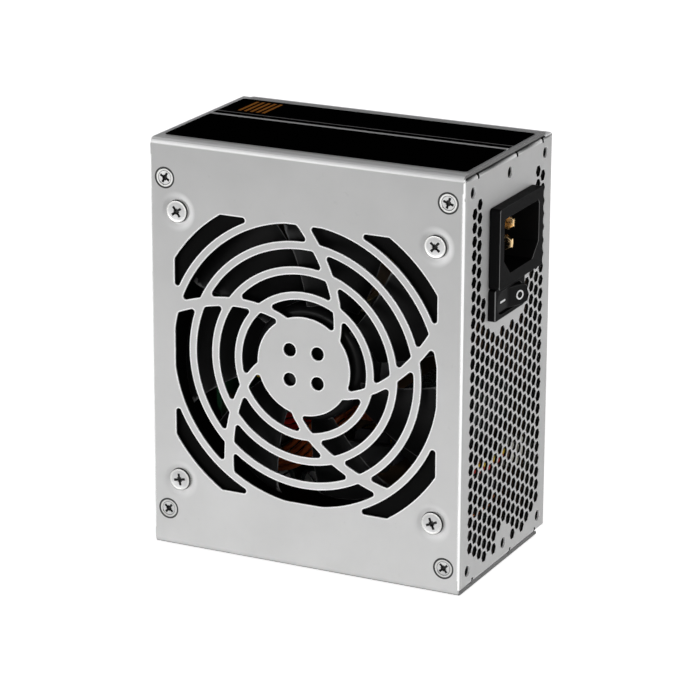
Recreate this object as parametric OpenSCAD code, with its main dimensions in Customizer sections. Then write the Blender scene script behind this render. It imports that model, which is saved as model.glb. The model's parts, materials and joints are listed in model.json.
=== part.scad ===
// A compact computer power supply, standing on its narrow side with the fan face to the front.
// X runs along the fan face towards the inlet panel, Y towards the back plate, Z up.
// The origin is the centre of the side that the case stands on.

/* [Case] */
// Width across the fan face
case_w = 100; // [100:1:112]
// Depth from the fan face to the back plate
case_d = 63.5; // [63.5:0.5:70]
// Height of the case as it stands
case_h = 125; // [125:1:140]
// Thickness of the steel sheet
sheet_t = 0.8; // [0.6:0.1:1]
// Outer radius of the bends in the sheet
bend_r = 1.8; // [1.4:0.1:2.4]
// Gap where the cover laps over the shell
lap_gap = 0.1; // [0.05:0.05:0.2]
// How far the cover's side edges stop short of the case's sides
cover_inset = 0.3; // [0.2:0.1:0.6]
// How far the cover's top and underside stop short of the back plate
cover_setback = 5.75; // [4:0.25:8]
// Width of the shell's flanges under the fan face, between the screw tabs
flange_w = 3; // [2:0.25:3.25]
// Width of the shell's screw tabs and of its inner tabs at the top and the bottom
tab_w = 8.5; // [8:0.5:9]
// Width of the shell's strips that lie under the cover's back edges
strip_w = 11; // [9:0.5:14]
// Width of the relief notches in the panel's top and bottom edges
notch_w = 1.2; // [0.8:0.2:2]

/* [Case screws] */
// Distance of the case screws from the middle of the fan face, along its width
case_screw_x = 45.1; // [44.5:0.1:45.5]
// Distance of the left screws beyond the fan's screws
case_screw_left_gap = 9.75; // [9.25:0.25:10.75]
// Distance of the right screws beyond the fan's, as a share of the room up to the case's ends
case_screw_right_share = 0.619; // [0.5:0.001:0.65]
// Diameter of the countersunk heads
case_screw_head_d = 5.9; // [5:0.1:6.4]
// Diameter of the case screws' shanks
case_screw_d = 2.9; // [2.4:0.1:3.2]
// Length of the case screws
case_screw_len = 6; // [4:0.5:8]

/* [Fan grille] */
// Radius of the disc in the middle of the grille
grille_disc_r = 14.9; // [13:0.1:16]
// Width of the ring slots
slot_w = 5.2; // [4:0.1:5.2]
// Width of the rings of metal between the slots
rib_w = 2.3; // [2:0.1:2.4]
// Number of full rings of slots
slot_rings = 4; // [3:1:4]
// Number of spokes
spoke_count = 5; // [3:1:7]
// Width of a spoke where it leaves the disc
spoke_root_w = 2.3; // [2:0.1:4]
// Width of a spoke at its outer end
spoke_tip_w = 3; // [2:0.1:5]
// Turn of a spoke for each doubling of the radius, in degrees
spoke_turn = 30.8; // [0:0.1:40]
// Half the side of the square that the slots keep inside
slot_square = 42.2; // [41:0.1:43]
// Radius of the slots' corners
slot_corner_r = 0.9; // [0.4:0.1:1.2]
// Diameter of the four holes in the disc
disc_hole_d = 4.1; // [3:0.1:5]
// Spacing of the four holes in the disc
disc_hole_pitch = 9; // [8:0.5:11]

/* [Fan] */
// Side of the fan's frame
fan_size = 92; // [90:1:92]
// Thickness of the fan
fan_t = 15; // [14:0.5:15]
// Distance of the fan's screws from the sides of its frame
fan_screw_inset = 4.75; // [4.6:0.05:5]
// Diameter of the fan screws' heads
fan_screw_head_d = 6.9; // [6:0.1:7.2]
// Diameter of the fan screws' shanks
fan_screw_d = 4.2; // [3.6:0.1:4.4]
// Length of the fan screws
fan_screw_len = 9; // [7:0.5:11]
// Diameter of the dished rims around the fan screws, at the cover's face
dimple_d = 9.8; // [9:0.1:10.4]
// Depth of the dished rims
dimple_depth = 1.2; // [0.8:0.1:1.4]
// Radius of the fan's air duct
duct_r = 44.3; // [43:0.1:44.6]
// Thickness of the frame's flanges
fan_flange_t = 3.2; // [2.5:0.1:4]
// Radius of the impeller's hub
hub_r = 17.5; // [17:0.25:18]
// Wall of the impeller's hub
hub_wall = 1.2; // [1:0.1:1.3]
// Number of blades
blade_count = 7; // [5:1:9]
// Thickness of a blade
blade_t = 1.7; // [1.2:0.1:2]
// Turn of a blade from its back edge to its front edge, in degrees
blade_twist = 40; // [25:1:44]
// Gap between the blades' tips and the duct
tip_gap = 0.9; // [0.6:0.1:1.5]
// Diameter of the impeller's shaft
shaft_d = 3; // [2.5:0.1:3.2]
// Radial running clearance of the shaft in its bearing
shaft_play = 0.03; // [0.02:0.01:0.06]

/* [Honeycomb vent] */
// Distance between neighbouring holes
vent_pitch = 4; // [3.8:0.1:5]
// Width of a hole across its flats
vent_hole_w = 3.25; // [2.6:0.05:3.3]
// Number of columns on each side of the middle column
vent_side_columns = 7; // [5:1:7]
// Room that the vent leaves around each mounting hole
vent_screw_room = 6; // [5.5:0.1:6.4]
// Room that the vent leaves around the inlet
vent_inlet_room = 3.2; // [3.1:0.1:3.7]
// Room that the vent leaves around the switch
vent_switch_room = 2.5; // [2:0.1:3]
// Half the width of the blank strip below the switch
vent_blank_half_w = 12; // [10.6:0.1:13.6]

/* [Rear mounting holes] */
// Diameter of the mounting holes
mount_d = 3.5; // [3:0.1:3.7]
// Distance of the mounting holes from the panel's edges
mount_inset = 6; // [5.6:0.1:6.4]
// Depth of the drawn collars behind the mounting holes
mount_collar = 1.2; // [0.6:0.1:1.6]

/* [Mains inlet] */
// Gap between the fan and the inlet's body
inlet_fan_gap = 2.35; // [1.95:0.1:2.95]
// Height of the inlet above the middle of the case
inlet_z = 37.2; // [36.8:0.1:38]
// Width of the inlet's rim
inlet_w = 31.2; // [30:0.1:32]
// Height of the inlet's rim
inlet_h = 23.8; // [23:0.1:24]
// How far the inlet's rim stands proud of the panel
inlet_proud = 3.5; // [2:0.1:4]
// Width of the socket
socket_w = 25; // [24.4:0.1:25.4]
// Height of the socket
socket_h = 16.8; // [16.4:0.1:17]
// Depth of the socket from the face of the rim
socket_depth = 17; // [16:0.5:18]
// Size of the socket's two cut corners
socket_chamfer = 4.5; // [4:0.1:5]
// Wall around the socket behind the panel
inlet_wall = 1.3; // [1:0.1:1.5]
// Length of the contact pins' tails behind the inlet
tail_len = 6; // [4:0.5:7]

/* [Mains switch] */
// How far the switch sits nearer the fan than the inlet
switch_offset = 5; // [4.8:0.1:5.4]
// Height of the switch above the middle of the case
switch_z = 20.4; // [20:0.1:20.5]
// Length of the switch's rim
switch_w = 21.2; // [21:0.1:22]
// Height of the switch's rim
switch_h = 9.4; // [9.2:0.1:9.6]
// How far the switch's rim stands proud of the panel
switch_proud = 2.4; // [2:0.1:3]
// Depth of the switch's body behind the panel
switch_depth = 14; // [13:0.5:15]
// Half the length of the rocker
rocker_half = 8; // [7.5:0.1:8.1]
// Thickness of the rocker along its pivot
rocker_t = 6.3; // [5.8:0.1:6.5]
// Angle that the rocker leans to each side of its middle, in degrees
rocker_lean = 11; // [8:0.5:12]
// Diameter of the rocker's pivot pins
rocker_pin_d = 2.2; // [1.8:0.1:2.4]

/* [Main board] */
// Thickness of the circuit boards
board_t = 1.6; // [1.2:0.1:2]
// Gap between the main board's edges and the case
board_gap = 3.2; // [3:0.1:4]
// Height of the standoffs under the main board
standoff_h = 5; // [4:0.5:5.5]
// Radius of the standoffs
standoff_r = 2.8; // [2.4:0.1:3.2]
// Distance of the standoffs from the board's edges
standoff_inset = 4; // [3.6:0.1:4.4]
// Thickness of the insulating sheet
film_t = 0.4; // [0.2:0.1:0.6]

/* [Parts on the main board] */
// Diameter of the bulk capacitor
bulk_d = 25; // [22:0.5:25]
// Gap between the bulk capacitor and the fan
bulk_fan_gap = 4.7; // [3.7:0.5:8.7]
// Width of the transformer's core
core_w = 32; // [28:0.5:32]
// Thickness of the transformer's core
core_t = 13; // [11:0.5:16]
// Height of the transformer's core
core_h = 29; // [26:0.5:31]
// Thickness of the heat sinks
sink_t = 2.5; // [2:0.1:3]
// Gap between the heat sinks and the fan
sink_fan_gap = 5.7; // [4.7:0.5:10.7]
// Outer radius of the output choke's ring
choke_r = 11.5; // [10:0.5:12]
// Height of the output choke's ring
choke_h = 11; // [9:0.5:12]
// Diameter of an output capacitor
output_cap_d = 10; // [8:0.5:10]
// Height of an output capacitor
output_cap_h = 20; // [16:0.5:22]
// Diameter of the wire on the chokes
choke_wire_d = 1.3; // [1:0.1:1.4]

/* [Output sockets] */
// Distance between neighbouring contacts
contact_pitch = 4.2; // [4:0.1:4.2]
// Wall of a socket outside its cells
socket_wall = 0.8; // [0.6:0.1:1]
// Side of one contact cell
cell_w = 3.5; // [3.2:0.1:3.6]
// How far the output sockets stand proud of their panel
output_proud = 1; // [0.5:0.1:1.5]
// Length of an output socket
output_len = 12.6; // [11:0.1:13]

/* [Leads] */
// Diameter of an output lead
lead_d = 1.7; // [1.4:0.1:1.8]
// Diameter of a fan lead
fan_lead_d = 1.3; // [1:0.1:1.4]
// Diameter of a mains lead
mains_lead_d = 2.4; // [2:0.1:2.6]

/* [Hidden] */
$fn = 48;
eps = 0.01;
mid_z = case_h / 2;
face_y = -case_d / 2;
back_y = case_d / 2;
side_x = case_w / 2;

// the shell that the cover laps over
shell_low_z = sheet_t + lap_gap;
shell_high_z = case_h - sheet_t - lap_gap;
shell_front_y = face_y + sheet_t + lap_gap;
shell_bend_r = bend_r - 0.2;
strip_y = back_y - strip_w;
cover_back_y = back_y - cover_setback;
tab_screw_room = 4.2;
tab_front_y = -22;
tab_back_y = 24;
tab_split_y = 5.3;
top_tab_w = 5;
notch_depth = 2.4;

// the grille
slots_end_r = grille_disc_r + slot_rings * (slot_w + rib_w) - rib_w;
corner_slot_r = slots_end_r + rib_w;
spoke_slant = norm([1, spoke_turn / ln(2) * PI / 180]);
spoke_start = -0.8;
spoke_steps = 12;

// screws in the cover: [x, z from the middle]
fan_screw_z = fan_size / 2 - fan_screw_inset;
case_screw_z = [
  fan_screw_z + case_screw_left_gap,
  fan_screw_z + case_screw_right_share * (mid_z - fan_screw_z)
];
case_screws_at = [
  for (up = [-1, 1], side = [0, 1])
    [(2 * side - 1) * case_screw_x, up * case_screw_z[side]]
];
fan_screws_at = [for (up = [-1, 1], side = [-1, 1]) [side, up] * fan_screw_z];
case_sink_depth = sheet_t;
case_hole_play = 0.15;
thread_play = 0.05;
fan_head_h = 1.4;
fan_head_play = 0.3;
recess_w = 0.9;
dimple_floor_r = fan_screw_head_d / 2 + fan_head_play;

// the fan, measured from its back face along local z
fan_front_y = face_y + sheet_t + dimple_depth;
fan_back_y = fan_front_y + fan_t;
duct_wall = 1.3;
fan_corner_r = 5;
fan_hole_d = fan_screw_d + 2 * thread_play;
motor_plate_r = hub_r - 0.5;
motor_plate_t = 1.8;
strut_w = 3.4;
strut_t = 2.4;
blade_low_z = strut_t + 1;
blade_high_z = fan_t - 1.3;
hub_low_z = motor_plate_t + 0.8;
hub_high_z = fan_t - 0.8;
hub_edge_r = 2.2;
hub_top_t = 1.4;
blade_sweep = 11;
tip_r = duct_r - tip_gap;
bearing_wall = 1.9;
bearing_r = shaft_d / 2 + shaft_play + bearing_wall;
bearing_tube_wall = 1;
tube_r = bearing_r + thread_play + bearing_tube_wall;
tube_high_z = fan_t - 4.5;
magnet_t = 1.3;
magnet_r = hub_r - hub_wall - thread_play;
magnet_low_z = hub_low_z + 0.6;
magnet_high_z = hub_high_z - hub_top_t - 1.2;
stator_gap = 0.5;
stator_r = magnet_r - magnet_t - stator_gap;
stator_low_z = 5.2;
stator_high_z = 9;
fan_board_low_z = motor_plate_t + 0.2;
fan_board_t = 1;
pole_w = 3.6;
pole_shoe_t = 1.6;

// the mounting holes of the inlet panel: [y, z from the middle]
mount_y = back_y - mount_inset;
mount_z = mid_z - mount_inset;
mounts_at = [for (across = [-1, 0, 1], up = [-1, 1]) [across * mount_y, up * mount_z]];

// the inlet and the switch
panel_play = 0.2;
inlet_body_w = socket_w + 2 * inlet_wall;
inlet_body_h = socket_h + 2 * inlet_wall;
inlet_y = fan_back_y + inlet_fan_gap + inlet_body_w / 2;
switch_y = inlet_y - switch_offset;
inlet_floor_t = 3;
inlet_back = socket_depth + inlet_floor_t - inlet_proud;
pin_w = 4;
pin_t = 2;
live_pin_y = 7;
live_pin_z = 2.1;
earth_pin_z = -2;
live_pin_recess = 5.4;
earth_pin_recess = 2.9;
tail_t = 0.8;
clip_h = 0.8;
clip_len = 4;
rocker_play = 0.15;
rocker_pivot = 2.9;                       // depth of the pivot below the rim's face
rocker_valley = 2.3;                      // height of the rocker's middle above its pivot
rocker_rise = rocker_half * tan(rocker_lean);
rocker_r = norm([rocker_half, rocker_valley + rocker_rise]);
rocker_under = 2.6;
pivot_play = 0.05;
rocker_pin_len = 0.7;
switch_wall = 1.1;
switch_bay_w = 2 * (rocker_r + rocker_play);
switch_bay_h = rocker_t + 2 * rocker_play;
switch_body_w = switch_bay_w + 1.6;
switch_body_h = switch_bay_h + 2 * switch_wall;
switch_bay_depth = rocker_pivot + rocker_r * sin(rocker_lean) + rocker_under + 0.4;
terminal_w = 3.2;
terminal_len = 5;
terminals_at = [-4.5, 4.5];

// the main board, with its parts measured from its front face
film_y = back_y - sheet_t - film_t;
board_back_y = film_y - standoff_h;
board_y = board_back_y - board_t;
board_half_w = side_x - sheet_t - board_gap;
board_half_h = mid_z - sheet_t - board_gap;
standoffs_at = [
  for (up = [-1, 1], side = [-1, 1])
    [side * (board_half_w - standoff_inset), up * (board_half_h - standoff_inset)]
];
standoff_screw_r = 1.3;
standoff_screw_len = 5;
pan_head_r = 2.4;
pan_head_h = 1.6;
seat = 0.1;                               // gap between a part's underside and the board
spigot_r = 1.5;

// the earth screw in the strip at the top
earth_x = 17;
earth_screw_r = 1.4;
earth_ring_r = 2.5;
earth_y = back_y - shell_bend_r - earth_ring_r - lap_gap;
earth_head_r = 2.3;
earth_head_h = 1.3;

// heights of the parts that stand nearly as high as the room behind the fan
bulk_h = board_y - fan_back_y - bulk_fan_gap;
sink_h = board_y - fan_back_y - sink_fan_gap;

// places of the parts: [x, z from the middle]
pfc_r = 10.4;
pfc_at = [29, 13.2 - board_half_h];
bulk_at = [29.5, pfc_at.y + pfc_r + choke_wire_d + bulk_d / 2 + 1.6];
winding_gap = 0.3;
standby_at = [2, -38.5];
standby_w = 17;
standby_core_t = 6;
standby_h = 16;
primary_sink_at = [7, 12.5];
primary_sink_w = 27;
secondary_sink_at = [-24, -25];
secondary_sink_w = 38;
transformer_at = [secondary_sink_at.x + sink_t + 1.5 + core_w / 2, -7.5];
sink_foot = 1.5;
transistors_at = [7, 19.5];                // along the primary heat sink
rectifiers_at = [7, 19, 31];              // along the secondary heat sink
chip_w = 10;
chip_t = 4.4;
chip_h = 15;
chip_tab_h = 6;
chip_lift = 4;
bridge_w = 20;
bridge_t = 3.5;
bridge_h = 16;
output_choke_at = [-16, 30];
output_caps_at = [
  for (x = [-26, -14.5], z = [-49.4, -38.9, 49.4]) [x, z]
];
x_cap_at = [9, 26];
x_cap = [18, 8.5, 14];
y_caps_at = [[23.5, 32], [23.5, 37]];
y_cap_r = 3.6;
choke_at = [10, 43.5];
line_choke_r = 8.6;
fuse_at = [30.4, 37];
fuse_r = 2.6;
fuse_len = 20;
varistor_at = [26, board_half_h - 6.5];
thermistor_at = [37, varistor_at.y];
disc_r = 4.6;
disc_t = 3.4;
supervisor_at = [-19, -29.2];
supervisor_w = 18;
supervisor_h = 20;
supervisor_t = 1.2;

// the output sockets: [y, z from the middle, contacts along its length]
output_sockets_at = [
  [10, -1.5, 12], [-5, -40, 3], [-5, -20, 4], [-5, 0, 4], [-5, 18, 3], [10, 35, 3]
];
socket_board_low_y = fan_back_y + 1.25;
socket_board_high_y = board_y - 4.45;
socket_board_half = [(socket_board_high_y - socket_board_low_y) / 2, 50];
socket_board_y = (socket_board_high_y + socket_board_low_y) / 2;
socket_board_x = -side_x - output_proud + output_len;
spacers_at = [[-9, 46], [14, 46.5], [14, -46.5]];
spacer_r = 2.2;
spacer_screw_r = 1.2;
cell_depth = 9;
contact_w = 1;
contact_recess = 2;
socket_play = 0.15;

// the labels
label_t = 0.12;
top_label_margin = 1.7;
top_label_front = 5.35;
top_label_back = 3.1;
top_label_r = 1;
rating_w = 84;
rating_h = 88;

// the fan's plug on the main board
plug_at = [43.2, 0, bulk_at.y - 15.5];
plug_w = 5;
plug_len = 7.5;
plug_h = 8;

// parts that share a form
core_leg = 9;
standby_leg = 4.4;
line_choke_h = 8;
pfc_h = 10;

// the routes of the leads, whose points are chosen by hand
hook_x = -32.6;
hook_y = 10.3;
hook_step = 4;
lead_feet_z = mid_z - 26;
route_y = board_y - 24;
orange_foot_x = 9;
red_foot_x = -0.6;
orange_step = [-1.54, 0, 1.26];
foot_step = [-2.2, 0, 0];
side_step = [0, 0, 2];

// ---- shared shapes ----

module ring(outer_r, inner_r) {
  difference() {
    circle(outer_r);
    circle(inner_r);
  }
}

module rounded_rect(size, r) {
  square([size.x - 2 * r, size.y], center = true);
  square([size.x, size.y - 2 * r], center = true);
  for (sx = [-1, 1], sy = [-1, 1])
    translate([sx * (size.x / 2 - r), sy * (size.y / 2 - r)]) circle(r);
}

// a block whose twelve edges are rounded, as a folded box's are
module rounded_block(low, high, r) {
  size = high - low;
  translate((low + high) / 2) intersection() {
    linear_extrude(size.z, center = true) rounded_rect([size.x, size.y], r);
    rotate([90, 0, 0]) linear_extrude(size.y, center = true) rounded_rect([size.x, size.z], r);
    rotate([90, 0, 90]) linear_extrude(size.x, center = true) rounded_rect([size.y, size.z], r);
  }
}

// frames of reference: x and y lie in the surface, and z points out of it
module on_face() translate([0, face_y, mid_z]) rotate([90, 0, 0]) children();
module on_board(at = [0, 0]) translate([at.x, board_y, mid_z + at.y]) rotate([90, 0, 0]) children();
module in_fan() translate([0, fan_back_y, mid_z]) rotate([90, 0, 0]) children();
module on_inlet_panel(at) translate([side_x, at.x, mid_z + at.y]) rotate([90, 0, 90]) children();
module on_output_panel(at) {
  translate([-side_x, at.x, mid_z + at.y]) mirror([1, 0, 0]) rotate([90, 0, 90]) children();
}

// a cross recess in a screw's head, whose face is at z = 0
module cross_recess(span, depth) {
  for (turn = [45, 135]) rotate(turn) cube([span, recess_w, 2 * depth], center = true);
}

module pan_screw(head_r, head_h, shank_r, shank_len) {
  difference() {
    cylinder(h = head_h, r1 = head_r, r2 = head_r * 0.86);
    translate([0, 0, head_h]) cross_recess(head_r * 1.15, head_h * 0.55);
  }
  translate([0, 0, -shank_len]) cylinder(h = shank_len + eps, r = shank_r);
}

// ---- case ----

function spoke_angle(r) = spoke_start + spoke_turn * ln(slots_end_r / r) / ln(2);
function spoke_w(r) =
  spoke_root_w + (spoke_tip_w - spoke_root_w) * (r - grille_disc_r) / (slots_end_r - grille_disc_r);
function at_spoke(r, off) =
  let (a = spoke_angle(r) + off * degrees_of(spoke_w(r) * spoke_slant / 2, r)) [r * sin(a), r * cos(a)];
function degrees_of(arc, r) = arc / r * 180 / PI;

module spoke() {
  reach = [for (i = [0 : spoke_steps])
    grille_disc_r - 1 + i * (slots_end_r - grille_disc_r + 2) / spoke_steps];
  polygon(concat(
    [for (r = reach) at_spoke(r, -1)],
    [for (i = [spoke_steps : -1 : 0]) at_spoke(reach[i], 1)]
  ));
}

module grille_slots() {
  offset(r = slot_corner_r, $fn = 24) offset(delta = -slot_corner_r) intersection() {
    square(2 * slot_square, center = true);
    union() {
      difference() {
        for (i = [0 : slot_rings - 1]) {
          inner_r = grille_disc_r + i * (slot_w + rib_w);
          ring(inner_r + slot_w, inner_r, $fn = 120);
        }
        for (i = [0 : spoke_count - 1]) rotate(-i * 360 / spoke_count) spoke();
      }
      ring(corner_slot_r + slot_w, corner_slot_r, $fn = 120);
    }
  }
}

module fan_cover() {
  color("lightgray") difference() {
    union() {
      difference() {
        cover_block(0);
        cover_block(sheet_t);
        translate([-side_x, cover_back_y, -1]) cube([case_w, case_d, case_h + 2]);
      }
      on_face() for (at = fan_screws_at) translate([at.x, at.y, -sheet_t - dimple_depth])
        cylinder(h = dimple_depth + sheet_t / 2,
          r1 = dimple_floor_r + sheet_t / 2, r2 = dimple_d / 2 + sheet_t / 2);
    }
    on_face() {
      translate([0, 0, -2 * sheet_t]) linear_extrude(3 * sheet_t) grille_slots();
      for (sx = [-1, 1], sy = [-1, 1]) translate([sx, sy, 0] * disc_hole_pitch / 2)
        cylinder(h = 4 * sheet_t, d = disc_hole_d, center = true);
      for (at = fan_screws_at) translate(at) {
        translate([0, 0, -dimple_depth])
          cylinder(h = dimple_depth + eps, r1 = dimple_floor_r, r2 = dimple_d / 2);
        translate([0, 0, -2 * dimple_depth - sheet_t])
          cylinder(h = 2 * dimple_depth + sheet_t, d = fan_screw_d + 2 * fan_head_play);
      }
      for (at = case_screws_at) translate([at.x, at.y, -case_sink_depth - eps])
        cylinder(h = case_sink_depth + 2 * eps, r1 = case_screw_d / 2 + case_hole_play,
          r2 = case_screw_head_d / 2 + case_hole_play);
    }
  }
}

// the cover's solid outline, drawn in by an inset except at its open sides
module cover_block(inset) {
  translate([0, 0, mid_z]) rotate([90, 0, 90])
    linear_extrude(case_w - 2 * cover_inset + (inset > 0 ? 2 : 0), center = true)
      rounded_rect([case_d - 2 * inset, case_h - 2 * inset], bend_r - inset);
}

module case_screws() {
  color("gainsboro") on_face() for (at = case_screws_at) translate(at) {
    difference() {
      translate([0, 0, -case_sink_depth])
        cylinder(h = case_sink_depth, r1 = case_screw_d / 2, r2 = case_screw_head_d / 2);
      cross_recess(case_screw_head_d * 0.56, case_sink_depth * 0.7);
    }
    translate([0, 0, -case_screw_len]) cylinder(h = case_screw_len - case_sink_depth * 0.8, d = case_screw_d);
  }
}

module fan_screws() {
  color("gainsboro") on_face() for (at = fan_screws_at)
    translate([at.x, at.y, -dimple_depth])
      pan_screw(fan_screw_head_d / 2, fan_head_h, fan_screw_d / 2, fan_screw_len);
}

module top_label() {
  color("black") {
    w = case_w - 2 * cover_inset - 2 * top_label_margin;
    d = cover_back_y - face_y - top_label_front - top_label_back;
    translate([0, face_y + top_label_front + d / 2, case_h])
      linear_extrude(label_t) rounded_rect([w, d], top_label_r);
  }
}

module rating_label() {
  color("white") translate([0, back_y + label_t, mid_z]) rotate([90, 0, 0])
    linear_extrude(label_t) rounded_rect([rating_w, rating_h], top_label_r);
}

// true where the vent may have a hole, at [y, z from the middle]
function vent_free(at) =
  min([for (m = mounts_at) norm(at - m)]) > vent_screw_room
  && at.y > -mount_z - 1
  && at.y < mount_z - vent_pitch
  && outside(at, [inlet_y, inlet_z], [inlet_w, inlet_h], vent_inlet_room)
  && outside(at, [switch_y, switch_z], [switch_w, switch_h], vent_switch_room)
  && (abs(at.x) > vent_blank_half_w || at.y < switch_z - switch_h / 2 - vent_pitch);
function outside(at, middle, size, room) =
  abs(at.x - middle.x) > size.x / 2 + room || abs(at.y - middle.y) > size.y / 2 + room;
module vent_holes() {
  rows = ceil(mid_z / vent_pitch);
  for (k = [-vent_side_columns : vent_side_columns], j = [-rows : rows]) {
    at = [k * sin(60), j + (k % 2 == 0 ? 0 : 0.5)] * vent_pitch;
    if (vent_free(at)) translate(at) circle(d = vent_hole_w / cos(30), $fn = 6);
  }
}

module base_shell() {
  color("silver") difference() {
    union() {
      difference() {
        rounded_block([-side_x, shell_front_y, shell_low_z], [side_x, back_y, shell_high_z], shell_bend_r);
        rounded_block([-side_x, shell_front_y, shell_low_z] + [1, 1, 1] * sheet_t,
          [side_x, back_y, shell_high_z] - [1, 1, 1] * sheet_t, shell_bend_r - sheet_t);
        shell_front_opening();
        for (z = [shell_low_z, shell_high_z]) shell_end_opening(z);
      }
      for (at = mounts_at) on_inlet_panel(at) translate([0, 0, -sheet_t - mount_collar])
        cylinder(h = mount_collar + sheet_t / 2, d = mount_d + 2 * sheet_t);
    }
    on_inlet_panel([0, 0]) translate([0, 0, -sheet_t - 1]) linear_extrude(sheet_t + 2) vent_holes();
    for (at = mounts_at) on_inlet_panel(at) cylinder(h = 10, d = mount_d, center = true);
    panel_cut([inlet_y, inlet_z], [inlet_body_w, inlet_body_h]);
    panel_cut([switch_y, switch_z], [switch_body_w, switch_body_h]);
    on_face() for (at = case_screws_at) translate([at.x, at.y, -2 - sheet_t])
      cylinder(h = 2 + sheet_t, r = case_screw_d / 2 + thread_play);
    for (at = standoffs_at) on_board(at) translate([0, 0, board_y - back_y - 1])
      cylinder(h = sheet_t + 2, r = spigot_r + thread_play);
    translate([earth_x, earth_y, shell_high_z - 2]) cylinder(h = 4, r = earth_screw_r + thread_play);
    for (s = output_sockets_at) on_output_panel(s) translate([0, 0, -sheet_t / 2])
      cube([socket_size(s[2]).x + 2 * socket_play, socket_size(s[2]).y + 2 * socket_play, 4 * sheet_t],
        center = true);
    for (at = spacers_at) on_output_panel([at.x, at.y])
      cylinder(h = 4 * sheet_t, r = spacer_screw_r + thread_play, center = true);
  }
}

module panel_cut(at, size) {
  on_inlet_panel(at) cube([size.x + 2 * panel_play, size.y + 2 * panel_play, 4 * sheet_t], center = true);
}

// the fan face of the shell is open but for its flanges and its screw tabs
module shell_front_opening() {
  on_face() translate([0, 0, -5]) linear_extrude(6) difference() {
    square([2 * (side_x - flange_w), case_h], center = true);
    for (at = case_screws_at)
      translate([sign(at.x) * (side_x - tab_w / 2), at.y])
        square([tab_w, 2 * tab_screw_room], center = true);
  }
}

// the top and the bottom are open but for the strip at the back and the tabs at the sides
module shell_end_opening(z) {
  inner_x = side_x - shell_bend_r;
  translate([0, 0, z - notch_depth]) {
    translate([top_tab_w - side_x, face_y, 0])
      cube([case_w - 2 * top_tab_w, strip_y - face_y, 2 * notch_depth]);
    translate([-inner_x, face_y, 0]) cube([2 * inner_x, tab_front_y - face_y, 2 * notch_depth]);
    for (y = [tab_front_y, tab_split_y, tab_back_y], side = [-1, 1])
      translate([side * (side_x - top_tab_w / 2), y, notch_depth])
        cube([top_tab_w + 1, notch_w, 2 * notch_depth - 1], center = true);
  }
}

// ---- fan ----

module fan_frame() {
  color("#202020") in_fan() difference() {
    union() {
      for (z = [0, fan_t - fan_flange_t]) translate([0, 0, z]) linear_extrude(fan_flange_t)
        difference() {
          rounded_rect([fan_size, fan_size], fan_corner_r);
          circle(duct_r, $fn = 120);
        }
      linear_extrude(fan_t) ring(duct_r + duct_wall, duct_r, $fn = 120);
      cylinder(h = motor_plate_t, r = motor_plate_r);
      for (turn = [45 : 90 : 315]) rotate(turn) translate([motor_plate_r - 1, -strut_w / 2, 0])
        cube([duct_r - motor_plate_r + 1.5, strut_w, strut_t]);
      cylinder(h = tube_high_z, r = tube_r);
    }
    translate([0, 0, motor_plate_t]) cylinder(h = fan_t, r = bearing_r + thread_play);
    for (at = fan_screws_at) translate([at.x, at.y, -1]) cylinder(h = fan_t + 2, d = fan_hole_d);
  }
}

module fan_bearing() {
  color("goldenrod") in_fan() translate([0, 0, motor_plate_t])
    linear_extrude(tube_high_z - motor_plate_t - 0.3) ring(bearing_r, shaft_d / 2 + shaft_play);
}

module fan_board() {
  color("darkgreen") in_fan() translate([0, 0, fan_board_low_z])
    linear_extrude(fan_board_t) ring(stator_r - 0.5, tube_r + thread_play);
}

module fan_stator() {
  shoe_inner_r = stator_r - pole_shoe_t;
  color("dimgray") in_fan() translate([0, 0, stator_low_z])
    linear_extrude(stator_high_z - stator_low_z) {
      ring(tube_r + 1.8, tube_r + thread_play);
      for (turn = [0 : 90 : 270]) rotate(turn) {
        translate([tube_r + 1, -pole_w / 2]) square([stator_r - tube_r - 1.6, pole_w]);
        intersection() {
          ring(stator_r, shoe_inner_r);
          polygon([[0, 0], [2 * stator_r, 1.3 * stator_r], [2 * stator_r, -1.3 * stator_r]]);
        }
      }
    }
}

module stator_coils() {
  inner_r = tube_r + 2.6;
  outer_r = stator_r - pole_shoe_t - 0.6;
  coil_t = 1;
  coil_play = 0.1;
  color("orangered") in_fan() for (turn = [0 : 90 : 270])
    rotate(turn) translate([inner_r, 0, (stator_low_z + stator_high_z) / 2]) rotate([90, 0, 90])
      linear_extrude(outer_r - inner_r) difference() {
        rounded_rect([pole_w, stator_high_z - stator_low_z] + [2, 2] * (coil_t + coil_play), 0.9);
        square([pole_w, stator_high_z - stator_low_z] + [2, 2] * coil_play, center = true);
      }
}

module blade_plan() {
  steps = 7;
  inner_r = hub_r - 0.5;
  reach = [for (i = [0 : steps]) inner_r + i * (tip_r - inner_r) / steps];
  edge = function (r, side)
    let (a = blade_sweep * (r - inner_r) / (tip_r - inner_r) + side * degrees_of(blade_t / 2, r))
      [r * cos(a), r * sin(a)];
  polygon(concat([for (r = reach) edge(r, -1)], [for (i = [steps : -1 : 0]) edge(reach[i], 1)]));
}

module fan_rotor() {
  hub_h = hub_high_z - hub_low_z;
  color("#303030") in_fan() {
    translate([0, 0, hub_low_z]) rotate_extrude($fn = 96) {
      difference() {
        union() {
          square([hub_r - hub_edge_r, hub_h]);
          square([hub_r, hub_h - hub_edge_r]);
          translate([hub_r - hub_edge_r, hub_h - hub_edge_r]) circle(hub_edge_r);
        }
        translate([-1, -1]) square([hub_r - hub_wall + 1, hub_h - hub_top_t + 1]);
      }
      translate([shaft_d / 2 + 0.02, tube_high_z + 0.5 - hub_low_z])
        square([1.8, hub_high_z - hub_top_t - tube_high_z]);
    }
    for (i = [0 : blade_count - 1]) rotate(i * 360 / blade_count) translate([0, 0, blade_low_z])
      linear_extrude(blade_high_z - blade_low_z, twist = -blade_twist, slices = 10, $fn = 12) blade_plan();
  }
}

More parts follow.
